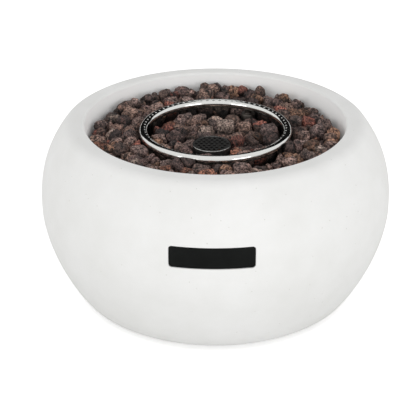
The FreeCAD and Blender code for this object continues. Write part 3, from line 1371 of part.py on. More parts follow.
def save(name, pieces):
    """Write one node's solids and print how it came out."""
    if not isinstance(pieces, list):
        pieces = [pieces]
    solids = []
    for piece in pieces:
        solids += piece.Solids
    for solid in solids:
        if not solid.isValid() or solid.Volume <= 0:
            print("CHECK", name, "solid not valid or empty")
    shape = solids[0] if len(solids) == 1 else Part.makeCompound(solids)
    shape.exportStep(f"parts/{name}.step")
    print(name, len(solids), "solids")


def main():
    os.makedirs("parts", exist_ok=True)
    save("bowl_shell", bowl_shell())
    save("front_plate", front_plate())
    for (x, y), name in zip(foot_places(), ("rear_right", "rear_left", "front_left", "front_right")):
        save(f"rubber_foot_{name}", rubber_foot(x, y))
    save("foot_screws", foot_screws())
    save("base_plate", base_plate())
    save("base_screws", base_screws())
    save("burner_pan", burner_pan())
    save("pan_screws", pan_screws())
    save("burner_ring", burner_ring())
    save("ring_legs", ring_legs())
    save("leg_screws", leg_screws())
    save("feed_nuts", feed_nuts())
    save("guard_cup", guard_cup())
    save("guard_lid", guard_lid())
    save("electrode_ceramic", electrode_ceramic())
    save("electrode_rod", electrode_rod())
    save("flame_sensor", flame_sensor())
    save("ignition_lead", ignition_lead())
    save("sensor_lead", sensor_lead())
    save("control_panel", control_panel())
    save("panel_screws", panel_screws())
    save("valve_body", valve_body())
    save("valve_screws", valve_screws())
    save("valve_plug", valve_plug())
    save("valve_stem", valve_stem())
    save("stem_spring", stem_spring())
    save("control_knob", control_knob())
    save("injector", injector())
    save("mixer_tube", mixer_tube())
    save("air_shutter", air_shutter())
    save("inlet_fitting", inlet_fitting())
    save("inlet_nut", inlet_nut())
    save("gas_tube", gas_tube())
    save("tube_nuts", tube_nuts())
    save("igniter_body", igniter_body())
    save("igniter_nut", igniter_nut())
    save("igniter_button", igniter_button())
    save("button_spring", button_spring())
    ring_inside = (RING_DIAMETER - RING_TUBE_DIAMETER) / 2
    ring_outside = (RING_DIAMETER + RING_TUBE_DIAMETER) / 2
    pan_inside = THROAT_DIAMETER / 2 - PAN_SIDE_GAP - PAN_SHEET
    save("lava_rock_outer", lava_stones(ring_outside + 2, pan_inside - 1, OUTER_STONE_DEPTH, STONE_SEED))
    save("lava_rock_inner", lava_stones(0, ring_inside - 2, INNER_STONE_DEPTH, STONE_SEED + 1))


main()
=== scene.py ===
import math

import bmesh
import bpy
import numpy as np
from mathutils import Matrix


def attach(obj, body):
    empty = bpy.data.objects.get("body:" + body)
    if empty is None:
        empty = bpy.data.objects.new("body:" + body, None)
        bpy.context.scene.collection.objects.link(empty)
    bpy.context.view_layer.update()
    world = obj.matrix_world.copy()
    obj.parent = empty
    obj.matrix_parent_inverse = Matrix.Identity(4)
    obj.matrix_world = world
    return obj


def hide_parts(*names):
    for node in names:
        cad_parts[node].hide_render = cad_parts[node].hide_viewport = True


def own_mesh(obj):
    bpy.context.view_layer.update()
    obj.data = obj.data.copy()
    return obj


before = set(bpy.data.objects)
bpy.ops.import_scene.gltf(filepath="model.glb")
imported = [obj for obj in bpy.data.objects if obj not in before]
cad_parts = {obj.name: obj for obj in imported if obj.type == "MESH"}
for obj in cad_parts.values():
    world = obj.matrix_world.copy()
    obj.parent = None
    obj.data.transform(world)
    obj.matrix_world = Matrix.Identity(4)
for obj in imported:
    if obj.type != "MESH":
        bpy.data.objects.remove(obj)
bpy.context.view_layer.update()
MM = 0.001


# Studio. A plain pale floor, two soft boxes in front, one at either side, and a surround that is
# brighter near the horizon than overhead. The camera stands 1.6 m away and looks down 27 degrees, a
# touch to the right of the front plate. A black card behind is seen only in shiny metal.
def linear(code):
    """Linear colour of an sRGB hex code: c / 12.92 up to 0.04045, else ((c + 0.055) / 1.055) ** 2.4."""
    parts = [int(code[i:i + 2], 16) / 255 for i in (1, 3, 5)]
    return [c / 12.92 if c <= 0.04045 else ((c + 0.055) / 1.055) ** 2.4 for c in parts] + [1.0]


def empty_tree(owner):
    """The node tree of a material or a world, emptied."""
    owner.use_nodes = True
    owner.node_tree.nodes.clear()
    return owner.node_tree


def given(made, **values):
    """Sets properties of a thing and gives it back."""
    for name, value in values.items():
        setattr(made, name, value)
    return made


def added(name, data):
    """A new object in the scene, with its mesh, curve, light or camera."""
    made = bpy.data.objects.new(name, data)
    bpy.context.scene.collection.objects.link(made)
    return made


def node(tree, kind, inputs=None, **settings):
    """Adds a node with its settings; each input takes a plain value or another node's output."""
    made = given(tree.nodes.new(kind), **settings)
    for name, value in (inputs or {}).items():
        if isinstance(value, bpy.types.NodeSocket):
            tree.links.new(value, made.inputs[name])
        else:
            made.inputs[name].default_value = value
    return made


def mapped(tree, value, low, high, to_low, to_high):
    """A value from low to high carried over to another range, and held at its ends."""
    made = node(tree, "ShaderNodeMapRange", {
        "Value": value, "From Min": low, "From Max": high, "To Min": to_low, "To Max": to_high})
    return made.outputs[0]


def joined(tree, operation, first, second):
    """Two values put together by an operation of the Math node."""
    return node(tree, "ShaderNodeMath", {0: first, 1: second}, operation=operation).outputs[0]


def build(name, points, faces):
    """A smooth-shaded mesh object from an array of points and an array of faces of equal corner count."""
    corners = np.ravel(faces).astype(np.int32)
    mesh = bpy.data.meshes.new(name)
    mesh.vertices.add(len(points))
    mesh.vertices.foreach_set("co", np.ravel(points).astype(np.float32))
    mesh.loops.add(len(corners))
    mesh.loops.foreach_set("vertex_index", corners)
    mesh.polygons.add(len(faces))
    mesh.polygons.foreach_set("loop_start", np.arange(len(faces), dtype=np.int32) * faces.shape[1])
    mesh.update(calc_edges=True)
    mesh.polygons.foreach_set("use_smooth", np.ones(len(faces), bool))
    return added(name, mesh)


FOCUS_HEIGHT = 0.1074
CAMERA_DISTANCE = 1.6
CAMERA_RISE = math.radians(26.95)
CAMERA_TURN = math.radians(1.0)
CAMERA_LENS = 100.55
SENSOR = 36.0
CAMERA_SHIFT = -0.0178
scene = bpy.context.scene
scene.view_settings.view_transform = "Standard"
lens = given(bpy.data.cameras.new("camera"), lens=CAMERA_LENS, sensor_width=SENSOR)
camera = added("camera", given(lens, shift_x=CAMERA_SHIFT, clip_end=100))
ground_distance = CAMERA_DISTANCE * math.cos(CAMERA_RISE)
camera.location = (
    ground_distance * math.sin(CAMERA_TURN), -ground_distance * math.cos(CAMERA_TURN),
    FOCUS_HEIGHT + CAMERA_DISTANCE * math.sin(CAMERA_RISE))
camera.rotation_euler = (math.pi / 2 - CAMERA_RISE, 0, CAMERA_TURN)
scene.camera = camera

HORIZON_LIGHT = 1.17
OVERHEAD_LIGHT = 0.62
BOX_SIZE = 1.4
BOX_AIM = (0, 0, 0.15)
WHITE = (1, 1, 1, 1)
sky = bpy.data.worlds.new("surround")
scene.world = sky
tree = empty_tree(sky)
path = node(tree, "ShaderNodeLightPath")
seen = joined(tree, "MAXIMUM", path.outputs["Is Camera Ray"], path.outputs["Is Glossy Ray"])
seen = joined(tree, "MAXIMUM", seen, path.outputs["Is Transmission Ray"])
heading = node(tree, "ShaderNodeTexCoord")
height = node(tree, "ShaderNodeSeparateXYZ", {0: heading.outputs["Generated"]})
even = mapped(tree, height.outputs["Z"], 0.1, 0.9, HORIZON_LIGHT, OVERHEAD_LIGHT)
strength = mapped(tree, seen, 0.0, 1.0, even, 1.0)
glow = node(tree, "ShaderNodeBackground", {"Color": WHITE, "Strength": strength})
node(tree, "ShaderNodeOutputWorld", {"Surface": glow.outputs[0]})


def soft_box(name, place, power):
    """A square area light at a place, turned towards the middle of the bowl."""
    lamp = given(bpy.data.lights.new(name, "AREA"), shape="SQUARE", size=BOX_SIZE, energy=power)
    away = np.array(place) - np.array(BOX_AIM)
    facing = (math.atan2(math.hypot(away[0], away[1]), away[2]), 0, math.atan2(away[0], -away[1]))
    given(added(name, lamp), location=place, rotation_euler=facing)


soft_box("right_box", (1.9, -2.3, 0.78), 17.5)
soft_box("left_box", (-1.9, -2.3, 0.75), 14.5)


def square(name, corner, side_a, side_b):
    """A flat rectangle from one corner and its two sides."""
    a, b = np.array(side_a), np.array(side_b)
    return build(name, np.array(corner) + np.array([0 * a, a, a + b, b]), np.array([[0, 1, 2, 3]]))


# Matt white paper. The camera sees it lit up to plain white; for other rays it is a light grey.
FLOOR_REACH = 12.0
floor = square("floor", (-FLOOR_REACH, -FLOOR_REACH, 0), (2 * FLOOR_REACH, 0, 0), (0, 2 * FLOOR_REACH, 0))
paper = bpy.data.materials.new("white_paper_floor")
tree = empty_tree(paper)
matt = node(tree, "ShaderNodeBsdfDiffuse", {"Color": linear("#F4F4F3")})
soft = node(tree, "ShaderNodeBsdfDiffuse", {"Color": linear("#E3E3E2")})
lift = node(tree, "ShaderNodeEmission", {"Color": WHITE, "Strength": 0.5})
path = node(tree, "ShaderNodeLightPath")
both = node(tree, "ShaderNodeAddShader", {0: matt.outputs[0], 1: lift.outputs[0]})
pick = node(tree, "ShaderNodeMixShader", {
    0: path.outputs["Is Camera Ray"], 1: soft.outputs[0], 2: both.outputs[0]})
node(tree, "ShaderNodeOutputMaterial", {"Surface": pick.outputs[0]})
floor.data.materials.append(paper)

card = square("black_card", (-1.5, 1.6, 0.25), (3.0, 0, 0), (0, -0.4, 1.85))
felt = bpy.data.materials.new("black_felt_card")
tree = empty_tree(felt)
dull = node(tree, "ShaderNodeBsdfDiffuse", {"Color": linear("#101010")})
node(tree, "ShaderNodeOutputMaterial", {"Surface": dull.outputs[0]})
card.data.materials.append(felt)
given(card, visible_camera=False, visible_diffuse=False, visible_shadow=False)


# Cast bowl. One hollow casting of fibre cement with a flat rim that rolls over outwards, painted
# matt white. The front pocket, the rear recess and its opening are moulded in, with softened lips.
BOWL_RADIUS = 235.0
BOWL_HEIGHT = 233.0
BASE_RADIUS = 191.0
SHOULDER_RADIUS = 196.0
MOUTH_RADIUS = 173.0
WIDEST = 117.5
BOWL_WALL = 14.0
RIM_ROUND = 18.0
BASE_ROUND = 5.0
LIP_ROUND = 3.0
THROAT_RADIUS = 170.0
THROAT_WALL = 13.0
LEDGE = 14.0
FOOT_HEIGHT = 8.0
RIM_TOP = FOOT_HEIGHT + BOWL_HEIGHT
PAN_UNDERSIDE = 190.8
BASE_OPENING = 145.0
REBATE_WIDTH = 8.5
REBATE_DEPTH = 1.7
BOWL_TURNS = 384


def side_radius(height):
    """Radius of the bowl's outside at heights above its underside.

    Below the widest level it is a superellipse quarter, base + (widest - base) *
    (1 - (1 - h/w) ** 1.67) ** 0.91, and above it the power curve widest - drop * climb ** 2.53.
    """
    down = np.clip(1 - height / WIDEST, 0, 1)
    low = BASE_RADIUS + (BOWL_RADIUS - BASE_RADIUS) * (1 - down ** 1.67) ** 0.91
    climb = np.clip((height - WIDEST) / (BOWL_HEIGHT - WIDEST), 0, 1)
    high = BOWL_RADIUS - (BOWL_RADIUS - SHOULDER_RADIUS) * climb ** 2.53
    return np.where(height < WIDEST, low, high)


def side_line(inset, low, high, count):
    """Points (radius, z) of the side between two heights, moved in square to the surface."""
    height = np.linspace(low, high, count)
    step = 0.5
    below, above = np.clip(height - step, 0, BOWL_HEIGHT), np.clip(height + step, 0, BOWL_HEIGHT)
    slope = (side_radius(above) - side_radius(below)) / (above - below)
    size = np.sqrt(1 + slope ** 2)
    return np.stack([side_radius(height) - inset / size, FOOT_HEIGHT + height + inset * slope / size], 1)


def full_turn(count):
    """Evenly spread angles round a whole turn."""
    return np.linspace(0, 2 * math.pi, count, endpoint=False)


def polar(radius, angle, x=0.0, z=0.0):
    """Points (x + radius * cos, z + radius * sin) at angles."""
    return np.stack([x + radius * np.cos(angle), z + radius * np.sin(angle)], 1)


def rolled(ball, level, count):
    """Arc of a ball that touches the side and a flat level, from the side to the flat."""
    heights = np.linspace(0, BOWL_HEIGHT, 4000)
    centres = side_line(ball, 0, BOWL_HEIGHT, 4000)
    rising = np.sign(level - BOWL_HEIGHT / 2)
    at = np.argmin(np.abs(centres[:, 1] - (FOOT_HEIGHT + level - rising * ball)))
    touch = side_line(0, heights[at], heights[at] + 1e-3, 2)[0] - centres[at]
    angle = np.linspace(math.atan2(touch[1], touch[0]), rising * math.pi / 2, count)
    return polar(ball, angle, *centres[at]), heights[at]


def grid_faces(rows, columns, wrap_rows=True, wrap_columns=True):
    """Quads of a grid of points, rows by columns, joined round where asked."""
    r = np.arange(rows if wrap_rows else rows - 1)
    c = np.arange(columns if wrap_columns else columns - 1)
    r, c = np.meshgrid(r, c, indexing="ij")
    r2, c2 = (r + 1) % rows, (c + 1) % columns
    r, r2 = r * columns, r2 * columns
    return np.stack([r + c, r + c2, r2 + c2, r2 + c], -1).reshape(-1, 4)


def skin(name, *grids, wrap=False):
    """A closed piece through grids of points in millimetres, (row, column, xyz), whose rows are loops.

    With wrap the last row joins the first. Doubled points are merged and faces turned outwards.
    """
    points, faces, start = [], [], 0
    for grid in grids:
        rows, columns = grid.shape[:2]
        points.append(grid.reshape(-1, 3))
        faces.append(grid_faces(rows, columns, wrap) + start)
        start += rows * columns
    made = build(name, np.concatenate(points) * MM, np.concatenate(faces))
    work = bmesh.new()
    work.from_mesh(made.data)
    bmesh.ops.remove_doubles(work, verts=work.verts, dist=1e-6)
    bmesh.ops.recalc_face_normals(work, faces=work.faces)
    work.to_mesh(made.data)
    work.free()
    return made


def sharpen(made, degrees):
    """Keeps edges steeper than an angle sharp in the smooth shading."""
    made.data.polygons.foreach_set("use_smooth", np.ones(len(made.data.polygons), bool))
    made.data.set_sharp_from_angle(angle=math.radians(degrees))
    return made


def turned(name, profile, turns, origin=(0, 0, 0), axis="z", wrap=False):
    """Surface of revolution: profile points (radius, rise) carried round a z or y axis at an origin."""
    angle = full_turn(turns)
    profile = np.asarray(profile, float)
    across = profile[:, :1] * np.cos(angle)
    along = profile[:, :1] * np.sin(angle)
    rise = np.broadcast_to(profile[:, 1:], across.shape)
    points = np.stack([across, along, rise] if axis == "z" else [across, rise, -along], -1)
    return skin(name, points + np.array(origin), wrap=wrap)


def points_of(mesh):
    """A mesh's points in metres, one a row."""
    spots = np.empty(len(mesh.vertices) * 3, np.float32)
    mesh.vertices.foreach_get("co", spots)
    return spots.reshape(-1, 3)


def cut_out(made, tool):
    """Cuts a tool out of a piece and leaves the result in the piece's own mesh."""
    given(made.modifiers.new("cut", "BOOLEAN"), object=tool, operation="DIFFERENCE", solver="EXACT")
    bpy.context.view_layer.update()
    result = bpy.data.meshes.new_from_object(made.evaluated_get(bpy.context.evaluated_depsgraph_get()))
    made.modifiers.clear()
    old = made.data
    made.data = result
    bpy.data.meshes.remove(old)
    bpy.data.objects.remove(tool)


def rounded_outline(width, height, corner, count=10):
    """Points (x, z) of a rectangle with round corners about the origin, anticlockwise."""
    angle = np.linspace(0, math.pi / 2, count)
    arc = polar(corner, angle)
    parts = []
    for quarter, (sx, sz) in enumerate([(1, 1), (-1, 1), (-1, -1), (1, -1)]):
        turn = quarter * math.pi / 2
        spin = np.array([[math.cos(turn), math.sin(turn)], [-math.sin(turn), math.cos(turn)]])
        parts.append(arc @ spin + np.array([sx * (width / 2 - corner), sz * (height / 2 - corner)]))
    outline = np.concatenate(parts)
    filled = []
    for a, b in zip(outline, np.roll(outline, -1, 0)):
        steps = max(int(np.linalg.norm(b - a) / 4), 1)
        filled.append(a + (b - a) * np.linspace(0, 1, steps, endpoint=False)[:, None])
    return np.concatenate(filled)


def grown(outline, amount):
    """The outline moved outwards by an amount along its own normals."""
    ahead = np.roll(outline, -1, 0) - np.roll(outline, 1, 0)
    normal = np.stack([ahead[:, 1], -ahead[:, 0]], 1)
    return outline + amount * normal / np.linalg.norm(normal, axis=1)[:, None]


def loft(name, loops, z, x=0.0):
    """A closed skin through loops of (outline, depth function), with both ends shut at their middles.

    A loop's point is (x + u, depth(u, v), z + v) for each outline point (u, v).
    """
    return skin(name, np.array([
        np.stack([x + o[:, 0], depth(x + o[:, 0], z + o[:, 1]), z + o[:, 1]], 1) for o, depth in loops]))


def flat_at(y):
    """Depth of a flat plane, the same at every (x, z)."""
    return lambda u, v: np.full(np.shape(u), float(y))


def on_side(inset, front=True):
    """Depth of the bowl's side, moved in by an inset, at (x, z)."""
    sign = -1 if front else 1
    return lambda u, v: sign * np.sqrt(np.maximum((side_radius(v - FOOT_HEIGHT) - inset) ** 2 - u ** 2, 1))


def shut(outline, depth, steps=6):
    """Loops that shrink to the middle and close an end."""
    return [(outline * s, depth) for s in np.linspace(1, 0, steps + 1)[1:]]


def lipped_cutter(outline, lip, surface, floor, z, far):
    """A cutter for a sunk place whose mouth flares by a quarter circle of the lip's size."""
    depths = lip * np.array([0.0, 0.04, 0.15, 0.33, 0.55, 0.78, 1.0])
    flare = lip - np.sqrt(lip ** 2 - (lip - depths) ** 2)
    wide = grown(outline, lip + 1)
    loops = shut(wide, flat_at(far))[::-1] + [(wide, flat_at(far)), (wide, surface(-1))]
    loops += [(grown(outline, f), surface(d)) for d, f in zip(depths, flare)]
    return loft("cutter", loops + [(outline, floor)] + shut(outline, floor, 10), z)


rim_arc, rim_height = rolled(RIM_ROUND, BOWL_HEIGHT, 14)
base_arc, base_height = rolled(BASE_ROUND, 0, 8)
lip_angle = np.linspace(math.pi / 2, math.pi, 8)
lip_arc = polar(LIP_ROUND, lip_angle, MOUTH_RADIUS + LIP_ROUND, RIM_TOP - LIP_ROUND)
throat_back = THROAT_RADIUS + THROAT_WALL
inside = side_line(BOWL_WALL, BOWL_WALL, BOWL_HEIGHT - RIM_ROUND / 3, 40)
inside = inside[inside[:, 0] > throat_back + 1]
bowl = turned("cast_bowl", np.concatenate([
    side_line(0, base_height, rim_height, 110),
    rim_arc[1:],
    lip_arc,
    np.linspace((MOUTH_RADIUS, RIM_TOP - LIP_ROUND), (THROAT_RADIUS, PAN_UNDERSIDE), 9)[1:],
    [(THROAT_RADIUS - LEDGE, PAN_UNDERSIDE), (THROAT_RADIUS - LEDGE, PAN_UNDERSIDE - LEDGE),
     (THROAT_RADIUS + THROAT_WALL / 2, PAN_UNDERSIDE - LEDGE),
     (throat_back, PAN_UNDERSIDE - LEDGE / 2), (throat_back, inside[-1][1])],
    inside[::-1],
    [(inside[0][0], FOOT_HEIGHT + BOWL_WALL), (BASE_OPENING, FOOT_HEIGHT + BOWL_WALL),
     (BASE_OPENING, FOOT_HEIGHT + REBATE_DEPTH), (BASE_OPENING + REBATE_WIDTH, FOOT_HEIGHT + REBATE_DEPTH),
     (BASE_OPENING + REBATE_WIDTH, FOOT_HEIGHT)],
    base_arc[::-1][:-1],
]), BOWL_TURNS, wrap=True)

# Behind the recess the wall is thickened inwards to a flat land, which the panel is screwed to.
PANEL_LEVEL = 120.0
LAND_HALF_WIDTH = 90.5
LAND_HALF_HEIGHT = 49.5
LAND_DEPTH = 195.0
spots = points_of(bowl.data)
x, y, z = spots.T / MM
inner = np.hypot(x, y) < side_radius(z - FOOT_HEIGHT) - BOWL_WALL * 0.6
land = inner & (np.abs(x) < LAND_HALF_WIDTH) & (np.abs(z - PANEL_LEVEL) < LAND_HALF_HEIGHT)
spots[land & (y > LAND_DEPTH - 5), 1] = LAND_DEPTH * MM
bowl.data.vertices.foreach_set("co", spots.ravel())

RECESS_FLOOR = 209.0
PLATE_WIDTH = 103.0
PLATE_HEIGHT = 26.0
PLATE_CORNER = 3.5
PLATE_LEVEL = 158.0
PLATE_GAP = 0.4
POCKET_DEPTH = 3.5
pocket = rounded_outline(PLATE_WIDTH + 2 * PLATE_GAP, PLATE_HEIGHT + 2 * PLATE_GAP, PLATE_CORNER + PLATE_GAP)
cut_out(bowl, lipped_cutter(pocket, 0.9, on_side, on_side(POCKET_DEPTH), PLATE_LEVEL, -BOWL_RADIUS - 20))
recess = rounded_outline(153.0, 71.0, 6.5)
cut_out(bowl, lipped_cutter(
    recess, 2.0, lambda inset: on_side(inset, False), flat_at(RECESS_FLOOR), PANEL_LEVEL, BOWL_RADIUS + 20))
opening = rounded_outline(134.0, 52.0, 6.0)
before, behind = flat_at(LAND_DEPTH - 10), flat_at(RECESS_FLOOR + 6)
cut_out(bowl, loft(
    "cutter", shut(opening, before)[::-1] + [(opening, before), (opening, behind)] + shut(opening, behind),
    PANEL_LEVEL))
sharpen(bowl, 32)


def start_material(name):
    """A new material; gives it, its tree, and the place on the piece in metres."""
    made = bpy.data.materials.new(name)
    tree = empty_tree(made)
    return made, tree, node(tree, "ShaderNodeTexCoord").outputs["Object"]


def noise(tree, place, size_mm, detail, rough=0.5):
    """Random values between 0 and 1 in soft patches about this many millimetres across."""
    made = node(tree, "ShaderNodeTexNoise", {
        "Vector": place, "Scale": 1 / (size_mm * MM), "Detail": detail, "Roughness": rough})
    return made.outputs["Fac"]


def off_spots(tree, place, apart_mm):
    """Distance to the nearest of scattered spots, as a share of how far apart they are."""
    made = node(tree, "ShaderNodeTexVoronoi", {"Vector": place, "Scale": 1 / (apart_mm * MM)})
    return made.outputs["Distance"]


def toned(tree, value, low, high, low_at=0.35, high_at=0.7):
    """A colour that goes from one tone to another as a value rises between two levels."""
    ramp = node(tree, "ShaderNodeValToRGB", {"Fac": value})
    for end, at, tone in zip(ramp.color_ramp.elements, (low_at, high_at), (low, high)):
        end.position = at
        end.color = linear(tone)
    return ramp.outputs["Color"]


def blended(tree, share, first, second):
    """The first colour where a share is 0, the second where it is 1."""
    return node(tree, "ShaderNodeMix", {"Factor": share, 6: first, 7: second}, data_type="RGBA").outputs[2]


def relief(tree, height, strength, depth_mm, under=None):
    """Relief of a pattern, so many millimetres deep, laid over another relief where one is given."""
    over = {"Normal": under} if under else {}
    made = node(tree, "ShaderNodeBump", {
        "Height": height, "Strength": strength, "Distance": depth_mm * MM, **over})
    return made.outputs[0]


def surface(tree, inputs):
    """Ends a tree with a Principled BSDF whose inputs are values or other nodes' outputs."""
    shader = node(tree, "ShaderNodeBsdfPrincipled", inputs)
    node(tree, "ShaderNodeOutputMaterial", {"Surface": shader.outputs[0]})


def placed(made, material, body, replaced=None):
    """Gives a piece its material, the body that it rides on and the CAD node it replaces."""
    made.data.materials.append(material)
    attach(made, body)
    if replaced:
        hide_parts(replaced)


# Painted fibre cement: matt off-white with cloudy patches a hand wide, a fine sandy grain, and
# scattered pin holes from air in the mould, drawn a little larger than the real half millimetre
# and greyer, a painted shade in each.
# Inside the mouth the colour is drawn whiter: painted light on the inner wall.
cement, tree, place = start_material("painted_fibre_cement")
pin_holes = mapped(tree, off_spots(tree, place, 13), 0.035, 0.065, 0.0, 1.0)
clouds = toned(tree, noise(tree, place, 70, 5, 0.6), "#E4E4E2", "#EBEBEA", 0.3, 0.7)
# Painted shade: the pin holes take a greyer colour.
spotted = blended(tree, pin_holes, linear("#D3D2CE"), clouds)
level = node(tree, "ShaderNodeVectorMath", {0: place, 1: (1, 1, 0)}, operation="MULTIPLY")
off_axis = node(tree, "ShaderNodeVectorMath", {0: level.outputs[0]}, operation="LENGTH").outputs["Value"]
# Painted light: the colour turns whiter inside the mouth's radius.
painted_inner_light = mapped(tree, off_axis, (MOUTH_RADIUS - 0.2) * MM, (MOUTH_RADIUS + 0.8) * MM, 1.0, 0.0)
sand = relief(tree, noise(tree, place, 1.6, 3, 0.6), 0.35, 0.25)
surface(tree, {
    "Base Color": blended(tree, painted_inner_light, spotted, linear("#FCFCFB")),
    "Normal": relief(tree, pin_holes, 0.6, 0.5, sand),
    "Roughness": 0.78, "IOR": 1.5, "Specular IOR Level": 0.35})
bowl.data.materials.clear()
placed(bowl, cement, "bowl", "bowl_shell")


# Front plate. A thin moulded blank in a pocket of the front, set back a little, bent to the
# bowl's curve and glued in. Black ABS with a fine spark-eroded grain and softened edges.
SET_BACK = 0.8
PLATE_THICKNESS = 2.5
PLATE_EDGE = 0.8
outline = rounded_outline(PLATE_WIDTH, PLATE_HEIGHT, PLATE_CORNER)
rear = on_side(SET_BACK + PLATE_THICKNESS)
loops = shut(outline, rear)[::-1] + [(outline, rear)]
loops += [(grown(outline, PLATE_EDGE * (math.cos(a) - 1)), on_side(SET_BACK + PLATE_EDGE * (1 - math.sin(a))))
          for a in np.linspace(0, math.pi / 2, 5)]
loops += shut(grown(outline, -PLATE_EDGE), on_side(SET_BACK), 8)
plate = sharpen(loft("front_plate_moulding", loops, PLATE_LEVEL), 40)


def two_tone(name, low, high, rough, sheen, patch, grain=None, bump=None, ends=(0.35, 0.7)):
    """A plastic, paint or glaze between two tones in soft patches, mostly with a grain in relief.

    Patch and grain are (size in mm, detail), bump is (strength, depth in mm), and ends are the patch
    levels where the tones end.
    """
    made, tree, place = start_material(name)
    inputs = {"Roughness": rough, "IOR": 1.5, "Specular IOR Level": sheen}
    inputs["Base Color"] = toned(tree, noise(tree, place, *patch), low, high, *ends)
    if grain:
        inputs["Normal"] = relief(tree, noise(tree, place, *grain), *bump)
    surface(tree, inputs)
    return made


abs_black = two_tone("black_moulded_abs", "#080A09", "#0E100F", 0.55, 0.12, (22, 4), (1.2, 2), (0.4, 0.12))
placed(plate, abs_black, "bowl", "front_plate")


# Lava rock. Broken, foamy basalt, some 140 stones of 20 to 34 mm, piled on the pan by hand. Each is
# rounded off inside its CAD stone, most of the long ones broken in two, then lumped and pitted, with
# its own shade: purple-grey to brown, some rust or brick red where the iron has burned. Chips of 9
# to 16 mm, as come in any bag of it, lie in the dips, and stones of 16 to 22 mm along the wall.
STONE_SHADES = ["#6B5750", "#584642", "#705A50", "#483B38", "#705444"]
STONE_SHADES += ["#64534E", "#7C4C41", "#5C4840", "#7F6E65", "#805645"]
STONE_SHARES = [0.18, 0.15, 0.13, 0.12, 0.08, 0.12, 0.07, 0.08, 0.04, 0.03]
STONE_FILL = 0.945
EDGE_POWER = 9
PITS = 50
LONG_STONE = 20
BROKEN_SHARE = 0.7
CHIP_SIDES = 14
CHIP_TRIES = 6000
PAN_TOP = 192.0
GUARD_X = -4.0
GUARD_Y = -36.0
GUARD_TOP = 220.0
GUARD_RADIUS = 25.3
BEFORE_GUARD = 44
LOW_TOP = GUARD_TOP - 1
RING_RADIUS = 96.0
RING_TUBE = 6.0


def solids_of(cad_node):
    """Triangles of a CAD node as (n, 3, 3) millimetres, and the number of the solid each belongs to.

    Corners at one place are one point, and each takes the smallest number in its triangles until
    nothing changes.
    """
    mesh = cad_node.data
    mesh.calc_loop_triangles()
    corners = np.empty(len(mesh.loop_triangles) * 3, np.int32)
    mesh.loop_triangles.foreach_get("vertices", corners)
    spots = points_of(mesh) / MM
    same = np.unique(np.round(spots * 50).astype(int), axis=0, return_inverse=True)[1].ravel()
    merged = same[corners].reshape(-1, 3)
    label = np.arange(merged.max() + 1)
    while True:
        lowest = np.repeat(label[merged].min(1), 3)
        after = label.copy()
        np.minimum.at(after, merged.ravel(), lowest)
        if (after == label).all():
            break
        label = after
    return spots[corners].reshape(-1, 3, 3), np.unique(label[merged[:, 0]], return_inverse=True)[1].ravel()


def ball_grid(steps):
    """Unit directions on the six faces of a cube, bent so that the cells are even, and their quads."""
    line = np.tan(np.linspace(-math.pi / 4, math.pi / 4, steps + 1))
    a, b = np.meshgrid(line, line, indexing="ij")
    one = np.ones_like(a)
    sides = [(one, a, b), (-one, b, a), (b, one, a), (a, -one, b), (a, b, one), (b, a, -one)]
    points = np.concatenate([np.stack(s, -1).reshape(-1, 3) for s in sides])
    cells = grid_faces(steps + 1, steps + 1, False, False)
    faces = np.concatenate([cells + n * (steps + 1) ** 2 for n in range(6)])
    kept, back = np.unique(np.round(points * 1e6).astype(int), axis=0, return_inverse=True)
    points = kept / 1e6
    return points / np.linalg.norm(points, axis=1)[:, None], back.ravel()[faces]


def lattice(points, seed):
    """Smooth random values between 0 and 1: eased mixing of hashed values at the corners of unit cells."""
    base = np.floor(points).astype(np.int64)
    part = points - base
    part = part * part * (3 - 2 * part)
    total = np.zeros(len(points))
    for corner in range(8):
        step = np.array([corner & 1, corner >> 1 & 1, corner >> 2])
        key = (base + step) @ np.array([73856093, 19349663, 83492791]) + seed * 2654435761
        key = (key ^ key >> 13) * 1274126177 & 0xFFFFFFFF
        key = (key ^ key >> 16) * 2246822519 & 0xFFFFFFFF
        total += np.prod(np.where(step, part, 1 - part), axis=1) * (key / 0xFFFFFFFF)
    return total


def planes_of(corners):
    """Middle of a CAD stone, and the unit normals and distances of the planes round it."""
    centre = corners.reshape(-1, 3).mean(0)
    normal = np.cross(corners[:, 1] - corners[:, 0], corners[:, 2] - corners[:, 0])
    area = np.linalg.norm(normal, axis=1)
    good = area > 1e-3
    normal = normal[good] / area[good, None]
    level = ((corners[good, 0] - centre) * normal).sum(1)
    planes = np.unique(np.round(np.concatenate([normal * 40, level[:, None] * 4], 1)), axis=0)
    return centre, planes[:, :3] / np.linalg.norm(planes[:, :3], axis=1)[:, None], planes[:, 3] / 4


def reach_along(direction, normal, level):
    """How far a stone goes from its middle in a direction."""
    return 1 / np.maximum(normal @ direction / level, 1e-6).max()


def split(centre, normal, level, along):
    """The two stones that a cut square to a direction makes of one, each with its own middle."""
    ahead = reach_along(along, normal, level)
    behind = reach_along(-along, normal, level)
    cut = (ahead - behind) / 2
    for side, end in ((1, ahead), (-1, -behind)):
        shift = along * (cut + end) / 2
        yield (centre + shift, np.concatenate([normal, [-side * along]]),
               np.append(level - normal @ shift, abs(end - cut) / 2))


